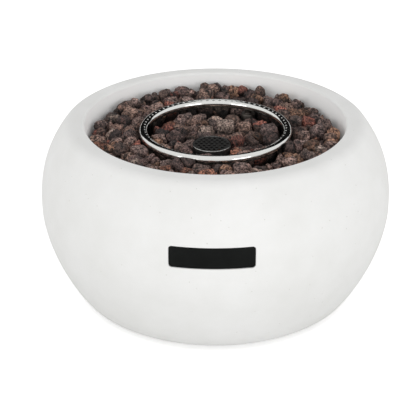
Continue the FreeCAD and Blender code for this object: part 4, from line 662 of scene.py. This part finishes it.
def stone_shape(ball, normal, level, dice, seed):
    """One stone's points about its middle, and the painted shade of each point: dark in its pits and dips and
    on its lower sides.

    The radius in a direction u is near (sum of (n.u / d) ** p) ** (-1 / p) over the planes
    n.x = d, which rounds their edges; lumps, crags and round pits then take some of it away.
    """
    reach = np.maximum(ball @ normal.T / level, 0)
    radius = STONE_FILL * (reach ** EDGE_POWER).sum(1) ** (-1 / EDGE_POWER)
    points = ball * radius[:, None]
    middle = np.median(radius)
    lump = lattice(points / 8 + 31.7 * seed, seed) - 0.5
    crag = 1 - np.abs(2 * lattice(points / 5 + 7.9 * seed, seed + 3) - 1)
    rough = lattice(points / 2.8 + 11.3 * seed, seed + 1) - 0.5
    gritty = lattice(points / 1.6 + 5.1 * seed, seed + 2) - 0.5
    spots = dice.normal(size=(PITS, 3))
    spots *= middle / np.linalg.norm(spots, axis=1)[:, None]
    size = dice.uniform(0.8, 2.4, PITS)
    apart = np.linalg.norm((ball * middle)[:, None] - spots[None], axis=2) / size
    pits = (np.clip(1.6 * (1 - apart), 0, 1) * size * 0.6).max(1)
    move = 4.6 * lump + 2.2 * (crag - 0.6) + 1.8 * rough + 1.0 * gritty - pits
    radius = radius + np.clip(middle / 11, 0.4, 1) * np.minimum(move, 1.0)
    # Painted shade: the colour darkens in the pits and dips and towards the stone's lower sides, lighter on
    # its top.
    painted_light = np.clip(0.3 + 0.85 * ball[:, 2], 0.03, 1) * (1 - np.clip(pits / 1.3 - rough * 0.8, 0, 1))
    return ball * radius[:, None], 1 - painted_light


def stone_shade(dice):
    """A stone's own colour: one of the shades, made lighter or darker."""
    pick = dice.choice(len(STONE_SHADES), p=STONE_SHARES)
    shade = np.array(linear(STONE_SHADES[pick]))
    shade[:3] *= dice.uniform(0.5, 1.95)
    return shade


def heap(name, stones, faces, replaced=None):
    """One piece from stones of (points, painted shade, colour) that share the same faces."""
    count = len(stones[0][0])
    made = build(name, np.concatenate([s[0] for s in stones]) * MM, np.concatenate(
        [faces + count * n for n in range(len(stones))]))
    tint = made.data.color_attributes.new("stone_shade", "FLOAT_COLOR", "POINT")
    tint.data.foreach_set("color", np.repeat([s[2] for s in stones], count, 0).astype(np.float32).ravel())
    painted_shade = made.data.attributes.new("painted_pit_and_side_shade", "FLOAT", "POINT")
    painted_shade.data.foreach_set("value", np.concatenate([s[1] for s in stones]).astype(np.float32))
    placed(made, lava, "bowl", replaced)


stone_ball, stone_faces = ball_grid(15)
chip_ball, chip_faces = ball_grid(11)
level_turns = np.linspace(0, math.pi, 8, endpoint=False)
level_lines = np.stack([np.cos(level_turns), np.sin(level_turns), np.zeros(8)], 1)
bed = []


def pile(name, node_name, keep, seed):
    """One piece from the stones of a CAD node whose middles pass a test.

    A long stone is mostly shown broken in two, square to its longest level line, and the stones in
    front of the guard are pressed down to leave its lid in sight. Their tops are kept in the bed.
    """
    corners, number = solids_of(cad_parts[node_name])
    stones = []
    for stone in range(number.max() + 1):
        centre, normal, level = planes_of(corners[number == stone])
        if not keep(centre):
            continue
        dice = np.random.default_rng(seed * 1000 + stone)
        long = [reach_along(line, normal, level) + reach_along(-line, normal, level) for line in level_lines]
        parts = [(centre, normal, level)]
        if max(long) > LONG_STONE and dice.uniform() < BROKEN_SHARE:
            along = level_lines[int(np.argmax(long))] + np.array([0, 0, dice.uniform(-0.5, 0.5)])
            parts = list(split(centre, normal, level, along / np.linalg.norm(along)))
        for middle, sides, far in parts:
            # Depth here is the painted shade of each point.
            shape, depth = stone_shape(stone_ball, sides, far, dice, seed * 1000 + stone)
            shape = shape + middle
            top = shape[:, 2].max()
            off_guard = math.hypot(middle[0] - GUARD_X, middle[1] - GUARD_Y)
            if off_guard < BEFORE_GUARD and middle[1] < GUARD_Y and top > LOW_TOP:
                shape[:, 2] = PAN_TOP + (shape[:, 2] - PAN_TOP) * (LOW_TOP - PAN_TOP) / (top - PAN_TOP)
            bed.append((middle[0], middle[1], shape[:, 2].max()))
            stones.append((shape, depth, stone_shade(dice)))
    heap(name, stones, stone_faces, node_name)


def even_directions(count):
    """Unit directions spread evenly over a sphere along a spiral."""
    height = 1 - (2 * np.arange(count) + 1) / count
    turn = np.arange(count) * math.pi * (3 - math.sqrt(5))
    flat = np.sqrt(1 - height ** 2)
    return np.stack([flat * np.cos(turn), flat * np.sin(turn), height], 1)


def chips(name, count, seed, inner, outer, small, large, spacing, sunk):
    """Small stones that lie in the dips between the big ones, clear of the ring, guard and wall.

    Each sits where the nearest big stones are farthest off, its middle sunk under their tops, and
    between inner and outer from the bowl's axis. Small and large are half sizes.
    """
    dice = np.random.default_rng(seed)
    big = np.array(bed)
    places = np.sqrt(dice.uniform(inner ** 2, outer ** 2, CHIP_TRIES))
    angle = dice.uniform(0, 2 * math.pi, CHIP_TRIES)
    places = polar(places, angle)
    apart = np.linalg.norm(places[:, None] - big[None, :, :2], axis=2)
    chosen, stones = [], []
    for at in np.argsort(-np.sort(apart, axis=1)[:, 0]):
        x, y = places[at]
        size = dice.uniform(small, large)
        off_ring = abs(math.hypot(x, y) - RING_RADIUS) - RING_TUBE
        off_guard = math.hypot(x - GUARD_X, y - GUARD_Y) - GUARD_RADIUS
        if off_ring < size + 1 or off_guard < size + 1:
            continue
        if any(math.hypot(x - cx, y - cy) < spacing for cx, cy in chosen):
            continue
        near = np.argsort(apart[at])[:3]
        level = big[near, 2].mean() - sunk
        if y < GUARD_Y and off_guard < 16:
            level = min(level, GUARD_TOP - 6)
        normal = even_directions(CHIP_SIDES) + dice.normal(size=(CHIP_SIDES, 3)) * 0.15
        normal /= np.linalg.norm(normal, axis=1)[:, None]
        stretch = dice.uniform(0.75, 1.1, 3)
        distance = size * dice.uniform(0.8, 1.0, CHIP_SIDES) * np.linalg.norm(normal * stretch, axis=1)
        # Depth here is the painted shade of each point.
        shape, depth = stone_shape(chip_ball, normal, distance, dice, seed + len(chosen))
        stones.append((shape + np.array([x, y, level]), depth, stone_shade(dice)))
        chosen.append((x, y))
        if len(chosen) == count:
            break
    heap(name, stones, chip_faces)


# Foamy basalt: dull and rough, browner in burned patches, with bubbles 1 to 3 mm wide; a finer grit
# lies over all of it. Light and shade are painted into its colour: lighter on the ridges of its relief,
# darker in the dips, nearly black in the bubbles, and darker in the pits and on each stone's lower sides.
lava, tree, place = start_material("foamy_basalt")
shade = node(tree, "ShaderNodeAttribute", attribute_name="stone_shade").outputs["Color"]
# The painted pit and side shade darkens the colour.
painted_shade = node(tree, "ShaderNodeAttribute", attribute_name="painted_pit_and_side_shade").outputs["Fac"]
patch = noise(tree, place, 11, 3, 0.6)
mottle = noise(tree, place, 2.8, 5, 0.75)
bubble = mapped(tree, off_spots(tree, place, 2.6), 0.2, 0.38, 0.08, 1.0)
# Painted light and shade: the mottle that raises the relief also lightens its ridges and darkens its dips,
# and the bubbles are painted nearly black.
tone = mapped(tree, mottle, 0.42, 0.62, 0.25, 2.1)
for factor in (bubble, mapped(tree, painted_shade, 0.0, 1.0, 1.5, 0.04), mapped(tree, patch, 0.35, 0.65, 0.7, 1.35)):
    tone = joined(tree, "MULTIPLY", tone, factor)
body_tone = blended(tree, mapped(tree, patch, 0.58, 0.72, 0.0, 0.4), shade, linear("#704C43"))
colour_and_painted_shade = node(tree, "ShaderNodeVectorMath", {0: body_tone, "Scale": tone}, operation="SCALE")
foam = relief(tree, bubble, 1.0, 1.8)
surface(tree, {
    "Base Color": colour_and_painted_shade.outputs[0], "Normal": relief(tree, mottle, 1.0, 2.6, foam),
    "Roughness": 0.62, "IOR": 1.5, "Specular IOR Level": 0.5})

pile("lava_rock_front", "lava_rock_outer", lambda c: c[1] < -0.4 * abs(c[0]), 3)
pile("lava_rock_right", "lava_rock_outer", lambda c: c[1] >= -0.4 * abs(c[0]) and c[0] > 0, 3)
pile("lava_rock_left", "lava_rock_outer", lambda c: c[1] >= -0.4 * abs(c[0]) and c[0] <= 0, 3)
pile("lava_rock_middle", "lava_rock_inner", lambda c: True, 4)
chips("lava_rock_chips", 110, 71, inner=0, outer=160, small=4.5, large=8.0, spacing=16, sunk=10.5)
chips("lava_rock_by_wall", 34, 72, inner=147, outer=159, small=8.0, large=11.0, spacing=24, sunk=3.0)


# Ring burner. A stainless tube of 12 mm bent to a ring and welded, polished, with 68 gas ports
# drilled in a narrow flat at the top, leaning 20 degrees inwards.
RING_LEVEL = 224.0
PORTS = 68
PORT_LEAN = math.radians(110)
PORT_SIZE = 1.2
PORT_DEPTH = 1.4
FLAT_HALF = math.radians(16.5)
RING_STEPS = PORTS * 16
band = PORT_LEAN + np.radians(np.linspace(-16, 16, 17))
rest = np.linspace(band[-1], band[0] + 2 * math.pi, 41)[1:-1]
section, around = np.meshgrid(np.concatenate([band, rest]), full_turn(RING_STEPS), indexing="ij")
off_flat = section - PORT_LEAN
flat_radius = RING_TUBE * math.cos(FLAT_HALF) / np.cos(off_flat)
tube_radius = np.where(np.abs(off_flat) < FLAT_HALF, np.minimum(flat_radius, RING_TUBE), RING_TUBE)
pitch = 2 * math.pi / PORTS
off_port = ((around / pitch) % 1 - 0.5) * pitch * (RING_RADIUS + RING_TUBE * math.cos(PORT_LEAN))
sink = np.clip((PORT_SIZE - np.hypot(off_port, off_flat * RING_TUBE)) / 0.35, 0, 1) * PORT_DEPTH
tube_radius = tube_radius - sink
out = RING_RADIUS + tube_radius * np.cos(section)
ring = skin("ring_burner", np.stack([
    out * np.cos(around), out * np.sin(around), RING_LEVEL + tube_radius * np.sin(section)], -1), wrap=True)
# Painted shade: the port dimples are coloured near black through this attribute.
port_shade = ring.data.attributes.new("painted_port_shade", "FLOAT", "POINT")
port_shade.data.foreach_set("value", np.clip(sink, 0, 1).astype(np.float32).ravel())

# Polished stainless steel: a bright mirror with faint swirl marks from the buff and a slightly
# duller patch here and there. Inside a port the colour is painted near black, a painted shade.
steel, tree, place = start_material("polished_stainless")
port_shade = node(tree, "ShaderNodeAttribute", attribute_name="painted_port_shade").outputs["Fac"]
swirl = noise(tree, place, 14, 6, 0.65)
surface(tree, {
    "Metallic": 1.0, "Roughness": mapped(tree, swirl, 0.3, 0.7, 0.05, 0.14),
    "Base Color": blended(tree, port_shade, linear("#D9D9D6"), linear("#0A0A0A")),
    "Normal": relief(tree, swirl, 0.3, 0.4)})
placed(ring, steel, "bowl", "burner_ring")


# Metal under and around the burner: the pressed pan, the ring's legs, the feed and mixing tubes and
# the shutter, in plain stainless that heat and smoke have dulled. The small fixings are zinc plated.
def coat(material, *names):
    """Gives CAD nodes a material in their own slots."""
    for name in names:
        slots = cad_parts[name].data.materials
        slots.clear()
        slots.append(material)


def metal_finish(name, low, high, smooth, rough, patch_mm, grain_mm, dent):
    """Metal between two tones in soft patches, its gloss uneven, with a fine grain in relief."""
    made, tree, place = start_material(name)
    patch = noise(tree, place, patch_mm, 5, 0.6)
    surface(tree, {
        "Metallic": 1.0, "Roughness": mapped(tree, patch, 0.3, 0.7, smooth, rough),
        "Base Color": toned(tree, patch, low, high, 0.35, 0.65),
        "Normal": relief(tree, noise(tree, place, grain_mm, 3, 0.6), 0.3, dent)})
    return made


pan_steel = metal_finish("heat_dulled_stainless", "#48433F", "#75706B", 0.35, 0.55, 30, 1.2, 0.08)
rod_steel = metal_finish("drawn_stainless", "#A9A7A3", "#C2C1BE", 0.18, 0.32, 9, 0.7, 0.05)
zinc = metal_finish("zinc_plated_steel", "#9FA3A6", "#BCBFC0", 0.25, 0.42, 5, 0.6, 0.04)
brass = metal_finish("machined_brass", "#A8874A", "#C2A25E", 0.2, 0.36, 8, 0.5, 0.04)
aluminium = metal_finish("bent_aluminium_tube", "#B4B6B8", "#CACBCC", 0.28, 0.42, 14, 0.8, 0.05)
copper = metal_finish("copper_sheath", "#9A5E42", "#B87B5A", 0.25, 0.42, 6, 0.5, 0.04)
coat(pan_steel, "burner_pan", "ring_legs", "mixer_tube", "air_shutter")
coat(rod_steel, "electrode_rod")
coat(zinc, "foot_screws", "base_plate", "base_screws", "pan_screws", "leg_screws", "feed_nuts", "valve_stem")
coat(brass, "valve_body", "valve_plug", "injector", "inlet_nut", "tube_nuts")
coat(aluminium, "gas_tube")
coat(copper, "flame_sensor")

FEED_PLACE = (44.0, 85.32, 0.0)
FEED_LOW = 164.8
FEED_HIGH = 214.0
feed_bore = [(0, FEED_HIGH - 1.2), (8.3, FEED_HIGH - 1.2)]
feed_mouth = [(r, FEED_LOW + rise) for r, rise in ((8.3, 0.3), (8.6, 0), (9.2, 0), (9.5, 0.3))]
feed_neck = [(r, FEED_HIGH + rise) for r, rise in (
    (9.5, -0.8), (9.2, -0.2), (8.7, 0), (5.4, 0), (5.1, 0.3), (5.0, 1), (5.0, 4.3), (0, 4.3))]
feed = turned("burner_feed_tube", feed_bore + feed_mouth + feed_neck, 48, FEED_PLACE)
placed(sharpen(feed, 50), pan_steel, "bowl", "burner_ring")


# Guard over the spark electrode. A cup and a perforated lid of sheet in black enamel, which dries
# with a faint orange peel; the lid's edge is rolled and worn bright. The white electrode insulator
# stands inside it, its glaze dulled by soot in patches.
enamel = two_tone(
    "black_enamelled_sheet", "#1E1E1D", "#383736", 0.42, 0.4, (2.2, 4, 0.7), (2.2, 4, 0.7), (0.3, 0.1))
coat(enamel, "guard_cup", "guard_lid")
ROLL = 0.85
roll = polar(ROLL, full_turn(12), GUARD_RADIUS - ROLL + 0.1, GUARD_TOP - ROLL + 0.15)
guard_roll = turned("guard_rolled_edge", roll, 120, (GUARD_X, GUARD_Y, 0), wrap=True)
worn_edge = metal_finish("worn_dark_edge", "#6E6E6C", "#C8C8C5", 0.15, 0.3, 8, 0.6, 0.05)
placed(guard_roll, worn_edge, "bowl")
glaze = two_tone("glazed_ceramic", "#B9B2A6", "#E6E3DC", 0.28, 0.5, (7, 4), ends=(0.35, 0.6))
coat(glaze, "electrode_ceramic")


# Control panel. A flat steel plate at the bottom of the rear recess, powder coated satin black with
# a fine leathery texture, held by four pan-head screws; two more of them hold the gas valve.
powder = two_tone("black_powder_coat", "#1B1B1C", "#262627", 0.48, 0.4, (18, 4), (0.9, 3), (0.5, 0.15))
coat(powder, "control_panel")
PANEL_FACE = 211.0
PANEL_SCREW_X = 71.5
PANEL_SCREW_RISE = 30.5
KNOB_X = 44.0
VALVE_SCREW_APART = 14.5
HEAD_RADIUS = 3.8
HEAD_HEIGHT = 2.4
SHANK_RADIUS = 2.0
SLOT_WIDTH = 1.0
SLOT_REACH = 2.1
SLOT_DEPTH = 1.3


def cross_screws(name, places, length, replaced):
    """Pan-head screws along Y, the head's crown cut by a cross slot, on the panel's face.

    The crown is 1 - 0.4 * (r / R) ** 3 of the head's height, less the slot, which is a smooth step
    of the distance to the nearer arm; the last share of the radius drops to the panel.
    """
    ring = np.concatenate([np.linspace(0, 0.96, 24), [0.985, 1.0, 1.0, 1.0]])
    drop = np.concatenate([np.zeros(24), [0.06, 0.2, 0.6, 1.0]])[:, None]
    angle = full_turn(64)
    r, turn = np.meshgrid(ring * HEAD_RADIUS, angle, indexing="ij")
    u, v = r * np.cos(turn), r * np.sin(turn)
    arm = np.minimum(np.abs(u), np.abs(v))
    reach = np.maximum(np.abs(u), np.abs(v))
    slot = np.clip((SLOT_WIDTH / 2 - arm) / 0.12 + 0.5, 0, 1) * np.clip((SLOT_REACH - reach) / 0.3, 0, 1)
    height = (HEAD_HEIGHT * (1 - 0.4 * (r / HEAD_RADIUS) ** 3) - SLOT_DEPTH * slot) * (1 - drop)
    shank_r = np.array([SHANK_RADIUS, SHANK_RADIUS, SHANK_RADIUS - 0.5, 0.0])[:, None]
    shank_y = np.array([0.0, -length + 0.5, -length, -length])[:, None]
    u = np.concatenate([u, shank_r * np.cos(angle)])
    v = np.concatenate([v, shank_r * np.sin(angle)])
    depth = PANEL_FACE + np.concatenate([height, np.repeat(shank_y, len(angle), 1)])
    screws = [np.stack([
        x + u * math.cos(spin) - v * math.sin(spin), depth, z + u * math.sin(spin) + v * math.cos(spin)], -1)
        for x, z, spin in places]
    placed(sharpen(skin(name, *screws), 40), zinc, "bowl", replaced)


cross_screws("panel_cross_screws", [
    (sx * PANEL_SCREW_X, PANEL_LEVEL + sz * PANEL_SCREW_RISE, 0.4 + 0.7 * sx + 0.3 * sz)
    for sx in (-1, 1) for sz in (-1, 1)], 10.0, "panel_screws")
cross_screws("valve_cross_screws", [
    (KNOB_X - VALVE_SCREW_APART, PANEL_LEVEL, 0.2), (KNOB_X + VALVE_SCREW_APART, PANEL_LEVEL, 1.0)],
    8.0, "valve_screws")


# Marks on the panel round the knob, printed in white ink that is a little thin in places: a dot for
# off, a small flame and a large one. They are a tenth of a millimetre thick, half of it sunk.
def flame(x, z, size):
    """A flame: a drop whose width is size * sin(t) * (1 - cos(t)) / 2.6 and whose tip points up."""
    t = full_turn(40)
    across = x + size * np.sin(t) * (1 - np.cos(t)) / 2.6 + size * 0.06 * np.sin(2 * t)
    return np.stack([across, z + size * 0.5 * np.cos(t)], 1)


def dot(x, z, size):
    """A round dot of a width."""
    return polar(size / 2, full_turn(28), x, z)


def printed(name, outlines):
    """Thin flat shapes on the panel's face from outlines of (x, z), each shut at its middle."""
    shapes = []
    for outline in outlines:
        middle = np.repeat(outline.mean(0)[None], len(outline), 0)
        shapes.append(np.stack([
            np.stack([row[:, 0], np.full(len(row), PANEL_FACE + y), row[:, 1]], 1)
            for row, y in ((middle, 0.05), (outline, 0.05), (outline, -0.05), (middle, -0.05))]))
    return sharpen(skin(name, *shapes), 30)


MARK_RADIUS = 26.0
marks = printed("knob_marks", [
    dot(KNOB_X, PANEL_LEVEL + MARK_RADIUS, 2.6),
    flame(KNOB_X - MARK_RADIUS - 1, PANEL_LEVEL, 6.5),
    flame(KNOB_X, PANEL_LEVEL - MARK_RADIUS, 4.0)])
ink = two_tone("white_print", "#B9B9B5", "#DEDEDA", 0.5, 0.5, (1.5, 3), ends=(0.25, 0.5))
placed(marks, ink, "bowl")


# Knob. Moulded black plastic with a round skirt and a finger bar between two scoops, its edges
# rounded, and a white pointer line let into its front. It turns and pushes with the spindle.
KNOB_BACK = 214.8
KNOB_GRIP = 18.0
KNOB_EDGE = 2.6
SCOOP_AWAY = 27.5
SCOOP_RADIUS = 21.0
knob_angle = full_turn(144)
off_scoop = SCOOP_AWAY * np.sin(knob_angle)
in_scoop = np.abs(off_scoop) < SCOOP_RADIUS
half_chord = np.sqrt(np.where(in_scoop, SCOOP_RADIUS ** 2 - off_scoop ** 2, 0))
to_scoop = np.where(in_scoop, SCOOP_AWAY * np.abs(np.cos(knob_angle)) - half_chord, 60.0)


def knob_row(radius, rise, scooped):
    """One outline of the knob: a circle, joined softly to the scoops by (a ** -p + b ** -p) ** (-1 / p)."""
    reach = np.full_like(knob_angle, radius)
    if scooped:
        reach = (radius ** -22 + np.maximum(to_scoop - (KNOB_GRIP - radius) * 0.5, 1) ** -22.0) ** (-1 / 22)
    depth = np.full_like(knob_angle, KNOB_BACK + rise)
    return np.stack([reach * np.cos(knob_angle), depth, reach * np.sin(knob_angle)], 1)


skirt = [(0.0, 2.4), (18.6, 2.4), (18.8, 0.2), (19.0, 0.0), (20.6, 0.0), (21.0, 0.4)]
skirt += [(21.0, 1.2), (20.7, 1.7), (18.4, 3.8), (KNOB_GRIP, 4.0)]
grip = [(KNOB_GRIP - 0.1, 4.02)] + [(KNOB_GRIP - 0.12 * s, 4.3 + s) for s in np.linspace(0, 8.6, 8)]
grip += list(polar(KNOB_EDGE, np.linspace(0.1, math.pi / 2, 7), 16.8 - KNOB_EDGE, 13.4))
knob_rows = [knob_row(*row, False) for row in skirt] + [knob_row(*row, True) for row in grip]
knob_rows += [knob_rows[-1] * np.array([share, 1, share]) for share in (0.8, 0.5, 0.2, 0.0)]
knob = skin("knob_moulding", np.array(knob_rows) + np.array([KNOB_X, 0, PANEL_LEVEL]))
knob_black = two_tone("black_knob_plastic", "#161616", "#1E1E1F", 0.42, 0.45, (18, 4), (0.7, 3), (0.5, 0.06))
placed(sharpen(knob, 50), knob_black, "knob", "control_knob")

POINTER_BACK = 230.2
POINTER_FRONT = 230.88
POINTER_EDGE = 0.12
line = rounded_outline(1.6, 11.0, 0.7, 6)
narrow = grown(line, -POINTER_EDGE)
back, front = flat_at(POINTER_BACK), flat_at(POINTER_FRONT)
loops = shut(line, back)[::-1] + [(line, back), (line, flat_at(POINTER_FRONT - POINTER_EDGE / 2))]
loops += [(narrow, front)] + shut(narrow, front, 2)
pointer = loft("knob_pointer", loops, PANEL_LEVEL + 7.4, KNOB_X)
placed(sharpen(pointer, 40), ink, "knob")


# Igniter. A black moulded case through the panel with a round collar, held by a ring nut, and a
# glossy red push button with a crowned, faintly dished face, scuffed by fingers.
coat(knob_black, "igniter_body", "igniter_nut")
BUTTON_RADIUS = 7.2
BUTTON_BACK = 203.5
BUTTON_SHOULDER = 218.9
BUTTON_FRONT = 221.5
BUTTON_EDGE = 1.1
button_profile = [(0, BUTTON_BACK), (BUTTON_RADIUS - 0.4, BUTTON_BACK), (BUTTON_RADIUS, BUTTON_BACK + 0.4)]
button_profile += [(BUTTON_RADIUS, PANEL_FACE), (BUTTON_RADIUS, BUTTON_SHOULDER)]
button_profile += list(polar(
    BUTTON_EDGE, np.linspace(0.2, 1.3, 6), BUTTON_RADIUS - BUTTON_EDGE, BUTTON_SHOULDER))
button_profile += [(5.4 * s, BUTTON_FRONT - 1.35 * s ** 2) for s in np.linspace(1, 0, 9)]
button = turned("button_moulding", button_profile, 72, (0, 0, PANEL_LEVEL), "y")
red = two_tone("red_moulded_plastic", "#A3161A", "#B81D20", 0.3, 0.5, (6, 3), (0.8, 3), (0.2, 0.04))
placed(sharpen(button, 50), red, "button", "igniter_button")


# Gas inlet. A brass bulkhead fitting turned from hexagon bar: a chamfered hexagon on the panel, a
# 5/8 inch thread with 1.41 mm between its turns, and a 45 degree nose that the hose seals on.
INLET_X = -47.0
INLET_HEX = 21.0
HEX_CHAMFER = 1.4
THREAD_RADIUS = 7.94
THREAD_PITCH = 1.41
THREAD_DEPTH = 0.8
HEX_END = 216.0
THREAD_END = 231.0
NOSE_END = 233.4
INLET_BORE = 3.0
hex_angle = full_turn(96)
sixth = (hex_angle + math.pi / 6) % (math.pi / 3) - math.pi / 6
hexagon = INLET_HEX / 2 / np.cos(sixth)
fitting_rows = []


def fitting_row(radius, y):
    """Adds one loop of the fitting, at one radius all round or at one for each angle."""
    fitting_rows.append(np.stack([
        radius * np.cos(hex_angle), np.full_like(hex_angle, y), radius * np.sin(hex_angle)], 1))


for radius, y in ((INLET_BORE, NOSE_END), (INLET_BORE, 201.0), (4.2, 201.0), (4.2, 194.0), (7.6, 194.0),
                  (THREAD_RADIUS, 194.4), (THREAD_RADIUS, PANEL_FACE)):
    fitting_row(radius, y)
for cut, y in ((HEX_CHAMFER, PANEL_FACE), (0, PANEL_FACE + 0.7), (0, HEX_END - 0.7), (HEX_CHAMFER, HEX_END)):
    fitting_row(np.minimum(hexagon, INLET_HEX / math.sqrt(3) - cut), y)
fitting_row(THREAD_RADIUS - THREAD_DEPTH, HEX_END)
for y in np.arange(HEX_END + 0.15, THREAD_END, THREAD_PITCH / 10):
    phase = (y / THREAD_PITCH - hex_angle / (2 * math.pi)) % 1
    groove = np.clip(1.15 - np.abs(2 * phase - 1) * 1.3, 0, 1)
    fade = np.clip((y - HEX_END) / 1.2, 0, 1) * np.clip(THREAD_END - y, 0, 1)
    fitting_row(THREAD_RADIUS - THREAD_DEPTH + THREAD_DEPTH * groove * fade, y)
for radius, y in ((7.0, THREAD_END), (5.7, NOSE_END - 0.15), (5.5, NOSE_END)):
    fitting_row(radius, y)
fitting = skin(
    "inlet_fitting_turned", np.array(fitting_rows) + np.array([INLET_X, 0, PANEL_LEVEL]), wrap=True)
placed(sharpen(fitting, 35), brass, "bowl", "inlet_fitting")


# Leads inside. The ignition lead has a thick silicone coat and a boot on the electrode, and the
# sensor's lead is a thin copper tube; both hang between the pieces that they join.
def routed(name, points, thickness, replaced, material):
    """A lead along a smooth NURBS curve that starts and ends on its route's end points."""
    curve = given(bpy.data.curves.new(name, "CURVE"), dimensions="3D", resolution_u=12, use_fill_caps=True)
    given(curve, bevel_depth=thickness / 2 * MM, bevel_resolution=4)
    run = curve.splines.new("NURBS")
    run.points.add(len(points) - 1)
    for spot, place in zip(run.points, points):
        spot.co = (place[0] * MM, place[1] * MM, place[2] * MM, 1)
    given(run, order_u=3, use_endpoint_u=True)
    placed(added(name, curve), material, "bowl", replaced)


silicone = two_tone("black_silicone", "#1F1D1C", "#2A2827", 0.6, 0.3, (18, 4), (0.8, 3), (0.5, 0.06))
routed("ignition_cable", [
    (-13, -36, 168.6), (-13, -36, 138.6), (-16, 6, 120.6), (-11, 56, 126.6), (0, 104.8, 122), (0, 136.8, 120),
    (0, 150.8, 120)], 3.0, "ignition_lead", silicone)
routed("sensor_cable", [
    (5, -36, 172.6), (5, -36, 144.6), (53, -12, 132.6), (95, 36, 126.6), (100.7, 98, 123), (98.7, 177, 120),
    (66.7, 177, 120)], 2.0, "sensor_lead", copper)
boot = turned("electrode_boot", [
    (1.15, 178.4), (1.15, 168.8), (0, 168.8), (0, 164.6), (2.2, 164.6), (2.6, 165.2), (3.5, 168.2),
    (3.5, 177.4), (3.2, 178.2), (2.9, 178.6), (1.5, 178.6)], 40, (-13.0, -36.0, 0))
placed(sharpen(boot, 50), silicone, "bowl", "ignition_lead")


# Feet. Black rubber pads, each held by a screw in a well, with a moulded skin that has gone dull.
rubber = two_tone("black_rubber_foot", "#1A1A19", "#262524", 0.75, 0.25, (18, 4), (0.6, 3), (0.5, 0.08))
coat(rubber, *[f"rubber_foot_{end}_{side}" for end in ("front", "rear") for side in ("left", "right")])


# Return springs of the knob and the button. Coiled steel wire with closed ends, held between its two
# seats.
WIRE = 0.8
WIRE_SIDES = 10
spring_wire = metal_finish("spring_wire", "#8C8A86", "#ACAAA6", 0.2, 0.35, 4, 0.4, 0.03)


def coil(name, x, low, high, radius, turns, body, replaced):
    """A round wire along a helix about the Y direction, from one level to another.

    The wire's pitch eases to nothing at both ends, so that the end turns lie flat.
    """
    steps = int(48 * turns)
    share = np.linspace(0, 1, steps)[:, None]
    turn = 2 * math.pi * turns * share
    rise = low + WIRE / 2 + (high - low - WIRE) * share * share * (3 - 2 * share)
    thick = np.full((steps, 1), WIRE / 2)
    thick[[0, -1]] = 0
    side = full_turn(WIRE_SIDES)
    out = radius - WIRE / 2 + thick * np.cos(side)
    made = skin(name, np.stack([
        x + out * np.cos(turn), rise + thick * np.sin(side), PANEL_LEVEL + out * np.sin(turn)], -1))
    placed(made, spring_wire, body, replaced)
    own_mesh(made)


coil("stem_coil", KNOB_X, 195.4, 200.5, 6.3, 3.2, "spindle", "stem_spring")
coil("button_coil", 0.0, 194.7, 203.3, 6.0, 4.5, "bowl", "button_spring")
